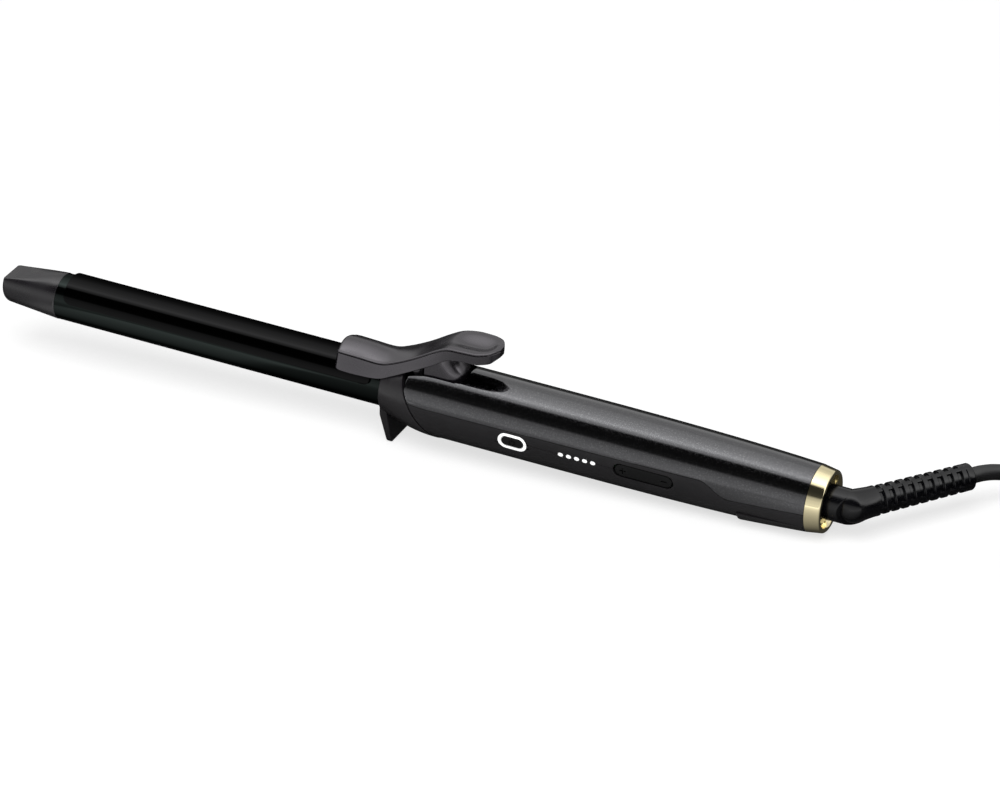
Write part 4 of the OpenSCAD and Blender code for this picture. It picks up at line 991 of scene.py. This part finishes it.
def makeLever():
    rows = smoothRows(leverForm(), 5)
    piece = loft("thumb_lever", [leverSection(row) for row in rows])
    wall, half = lever["wall"], lever["half"]
    roof = [(row[0], row[1] - wall) for row in rows if -4 < row[0] < 28.5]
    carve(piece, sideBlock("lever_hollow", roof + [(roof[-1][0], 2), (roof[0][0], 2)], half - wall))
    pinX, pinZ = lever["pin"]
    for side in (-1, 1):
        inner, outerY = side * (half - wall), side * half
        lug = circlePoints(2.2, 180, 360, 14, (pinX, pinZ)) + [(pinX + 3.4, pinZ + 2.6), (pinX - 0.6, pinZ + 1.6)]
        carve(piece, pushOutline("lug", [(x, inner, z) for x, z in lug], (0, outerY - inner, 0)), "UNION")
    carve(piece, lathe("collar_room", [(0, 0)] + skinLine(0, 46, -0.55, 24) + [(46, 0)], 144))
    # leg that reaches through the slot and stands on the clamp spring
    legFront, legRear, legW, legZ = lever["leg"]
    plans = [(z, roundBacked(legFront, legRear - lean, legW / 2, lever["legCorner"]))
             for z, lean in [(legZ, 0)] + lever["lean"]]
    leg = loft("lever_leg", [[(x, y, z) for x, y in plan] for z, plan in plans])
    under = [(row[0], row[1] - wall / 2 - 0.5) for row in rows if legFront - 3 < row[0] < legRear + 3]
    trim(leg, sideBlock("leg_top", under + [(under[-1][0], 0), (under[0][0], 0)]))
    carve(piece, leg, "UNION")
    carve(piece, lathe("plate_seat", [(-60, 0), (-60, 10.62), (-4.2, 10.62), (-4.2, 0)], 128))
    carve(piece, lathe("barrel_room", [(-4.5, 0), (-4.5, 11), (1, 11), (1, 0)], 128))
    pin = circlePoints(1.28, 0, 342, 19, (pinX, pinZ))
    carve(piece, pushOutline("pin_room", [(x, -half - 0.3, z) for x, z in pin], (0, 30, 0)))
    soften(piece, 0.12, 2, 50)
    finishPiece(piece, "thumb", "clamp", ["thumb_lever"], smooth=32)


# the swivel's shaft ends in a drum that is cut slantwise, where the sleeve of the boot turns away
swivel = {"radius": 7, "shaft": 5.5, "pin": 3.9, "groove": 4.7, "neck": 16, "cutBack": 0.2, "ball": 6.5, "sleeve": 6}


def makeSwivel():
    r, shaft, pin, groove = swivel["radius"], swivel["shaft"], swivel["pin"], swivel["groove"]
    shoulder, neck, end = handle["length"] - 0.7, handle["length"] - swivel["neck"], elbow["station"] + r + 2
    outline = [(neck - 8, 0), (neck - 8, pin), (neck, pin), (neck, shaft), (neck + 2, shaft), (neck + 2, groove),
               (neck + 3, groove), (neck + 3, shaft), (shoulder, shaft), (shoulder, r - 0.3), (shoulder + 0.3, r),
               (end, r), (end, 0)]
    piece = lathe("swivel_hub", outline, 128)
    cut = elbow["station"] + swivel["cutBack"] * r
    turn = math.radians(elbow["turn"] - 1)
    along, across = Vector((math.cos(turn), math.sin(turn), 0)), Vector((-math.sin(turn), math.cos(turn), 0))
    corners = [Vector((cut, 0, -30)) + along * u - across * v for u, v in ((-60, 0), (60, 0), (60, 60), (-60, 60))]
    carve(piece, pushOutline("slant", corners, (0, 0, 60)))
    soften(piece, 0.25, 3, 40)
    ball, thin, length = swivel["ball"], swivel["sleeve"], elbow["sleeve"]
    sleeve = lathe("sleeve", circlePoints(ball, 180, 90, 12) + [(2.5, ball - 0.12), (7, thin), (length - 0.2, thin),
                                                                (length, thin - 0.2), (length, 0)], 96)
    joinInto(piece, settle(sleeve, lift @ elbowPlace))
    finishPiece(piece, "boot", "swivel", ["swivel_body"], smooth=34)


relief = {"radius": 5.8, "endRadius": 5.4, "groove": 1.1, "ribs": 9, "lip": 3.2, "spine": (0.9, 5.45),
          "firstSpine": 76}


def makeRelief():
    length, lip = elbow["relief"], relief["lip"]
    pitch = (length - lip) / relief["ribs"]

    def ribR(x):
        return relief["radius"] + (relief["endRadius"] - relief["radius"]) * x / length

    outline = [(0, 0), (0, ribR(0) - 0.9)]
    soft = 0.22
    for k in range(relief["ribs"]):
        start = (k + 0.46) * pitch
        end = start + pitch * 0.52
        core = ribR(start) - relief["groove"]
        outline += [(start - 0.12, core), (start, core + 0.12), (start, ribR(start) - soft),
                    (start + soft, ribR(start)), (end - soft, ribR(end)), (end, ribR(end) - soft),
                    (end, core + 0.12), (end + 0.12, core)]
    lipStart, lipR = length - lip, relief["endRadius"]
    outline += [(lipStart, ribR(lipStart) - relief["groove"]), (lipStart, lipR - 0.25), (lipStart + 0.25, lipR),
                (length - 0.7, lipR), (length - 0.25, lipR - 0.25), (length, lipR - 0.7), (length, 3.25),
                (length - 1.2, 3.2), (length - 1.2, 0)]
    piece = lathe("boot_ribs", outline, 72)
    # spines fill the grooves on the quarters
    half, top = relief["spine"]
    section = [(-half, 0), (half, 0), (half, top - 0.25), (half - 0.3, top), (0.3 - half, top), (-half, top - 0.25)]
    for quarter in range(4):
        spine = pushOutline("spine", [(0.2, y, z) for y, z in section], (length - 1.4, 0, 0))
        turn = -math.radians(relief["firstSpine"] + 90 * quarter)
        joinInto(piece, settle(spine, Matrix.Rotation(turn, 4, "X")))
    settle(piece, Matrix.Translation((elbow["sleeve"], 0, 0)))
    finishPiece(piece, "boot", "swivel", ["strain_relief"], elbowPlace, smooth=30)


plug = {"at": (0.370, 0.0255, 0.00685), "length": 35, "width": 26, "thick": 13.7, "neck": 12, "pinGap": 18.6}


def makePlug():
    place = Matrix.Translation(plug["at"]) @ Matrix.Scale(mm, 4)
    length, half, thick, neck = plug["length"], plug["width"] / 2, plug["thick"] / 2, plug["neck"]
    side = [(0, 6.4), (2.5, 7.2)]
    side += [(7 + 4 * math.sin(a), half - 4 * (1 - math.sin(math.radians(30) + a))) for a in fan(0, 60, 6)]
    side += circlePoints(3, 90, 0, 8, (length - 3, half - 3))
    plan = side + [(x, -y) for x, y in side[::-1]]
    piece = pushOutline("plug_shell", [(neck + x, y, -12) for x, y in plan], (0, 0, 24))
    flank = [(0, thick - 1.1), (6, thick)] + circlePoints(1.5, 90, 0, 6, (length - 1.5, thick - 1.5))
    flank += [(x, -z) for x, z in flank[::-1]]
    trim(piece, pushOutline("plug_flank", [(neck + x, -20, z) for x, z in flank], (0, 40, 0)))
    soften(piece, 1.0, 4, 50)
    outline = [(0, 0), (0, 4.2)]
    for x in (2, 5, 8, 11):
        core = 4.4 + 1.2 * x / 13
        outline += [(x, core), (x, 5.7), (x + 0.2, 5.9), (x + 1.2, 5.9), (x + 1.4, 5.7), (x + 1.4, core + 0.1)]
    collar = lathe("plug_neck", outline + [(neck + 1, 5.5), (neck + 1, 0)], 64)
    joinInto(piece, collar)
    finishPiece(piece, "boot", "swivel", ["plug_body"], place, smooth=32)
    blade = [(-2, 0), (-2, 2), (17.6, 2), (18.4, 1.7), (19, 1.1), (19, 0)]
    pin = lathe("plug_blades", [(neck + length + x, r) for x, r in blade], 48)
    settle(pin, Matrix.Translation((0, plug["pinGap"] / 2, 0)))
    joinInto(pin, copyPiece(pin, Matrix.Translation((0, -plug["pinGap"], 0))))
    finishPiece(pin, "brass", "swivel", ["plug_pins"], place, smooth=32)


tie = {"width": 9, "thick": 1.0, "gap": 0.1, "reach": (19.2, 25.6), "radius": 32.8}


def makeTie():
    wide, tall = tie["reach"]
    place = Matrix.Translation((*cord["coilAt"], 0)) @ Matrix.Rotation(-math.pi / 2, 4, "Z") @ Matrix.Scale(mm, 4)
    mid, t = tie["radius"], tie["thick"] + tie["gap"]
    outerHalf, top = wide / 2 + t, tall + t

    def arch(half, height, corner):
        return [(mid - half, 0.05)] + circlePoints(corner, 180, 90, 8, (mid - half + corner, height - corner)) \
            + circlePoints(corner, 90, 0, 8, (mid + half - corner, height - corner)) + [(mid + half, 0.05)]

    rear = -tie["width"] / 2
    piece = pushOutline("strap", [(x, rear, z) for x, z in arch(outerHalf, top, 3.9)], (0, tie["width"], 0))
    inside = [(x, rear - 1, z - 0.6) for x, z in arch(wide / 2 + tie["gap"], tall + tie["gap"] + 0.6, 3.1)]
    carve(piece, pushOutline("strap_inside", inside, (0, tie["width"] + 2, 0)))
    soften(piece, 0.2, 2, 40)
    finishPiece(piece, "strap", "swivel", ["cord_tie"], place, smooth=32)


# pieces out of sight keep the CAD mesh
hidden = {
    "ceramic": ["heater_plate", "barrel_bush"],
    "alloy": ["heat_spreader_upper", "heat_spreader_lower"],
    "steel": ["thermal_fuse", "shell_screws", "key_switches", "rocker_pivot", "hinge_pin", "clamp_spring",
              "clamp_rivets", "swivel_clip"],
    "board": ["control_board"],
    "nylon": ["hinge_bracket", "swivel_bush"],
    "brass": ["contact_leaves", "slip_rings"],
}


def dressHidden():
    for finish, nodes in hidden.items():
        for node in nodes:
            coat(frame["nodes"][node], finish)


makeBarrel()
makeClampPlate()
makeCoolTip()
print("barrel, clamp and tip made")
makeCollar()
makeUpperShell()
makeLowerShell()
makeHeelPad()
makeEndRing()
print("handle made")
makeControls()
print("controls made")
makeLever()
print("lever made")
makeSwivel()
makeRelief()
print("swivel made")
makePlug()
makeTie()
dressHidden()
print("plug and tie made")
mainsCord, reliefEnd = addCord()
coat(mainsCord, "cord")
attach(mainsCord, "swivel")
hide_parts("cord_lead", "cord_coil", "plug_tail")
print("cord made")
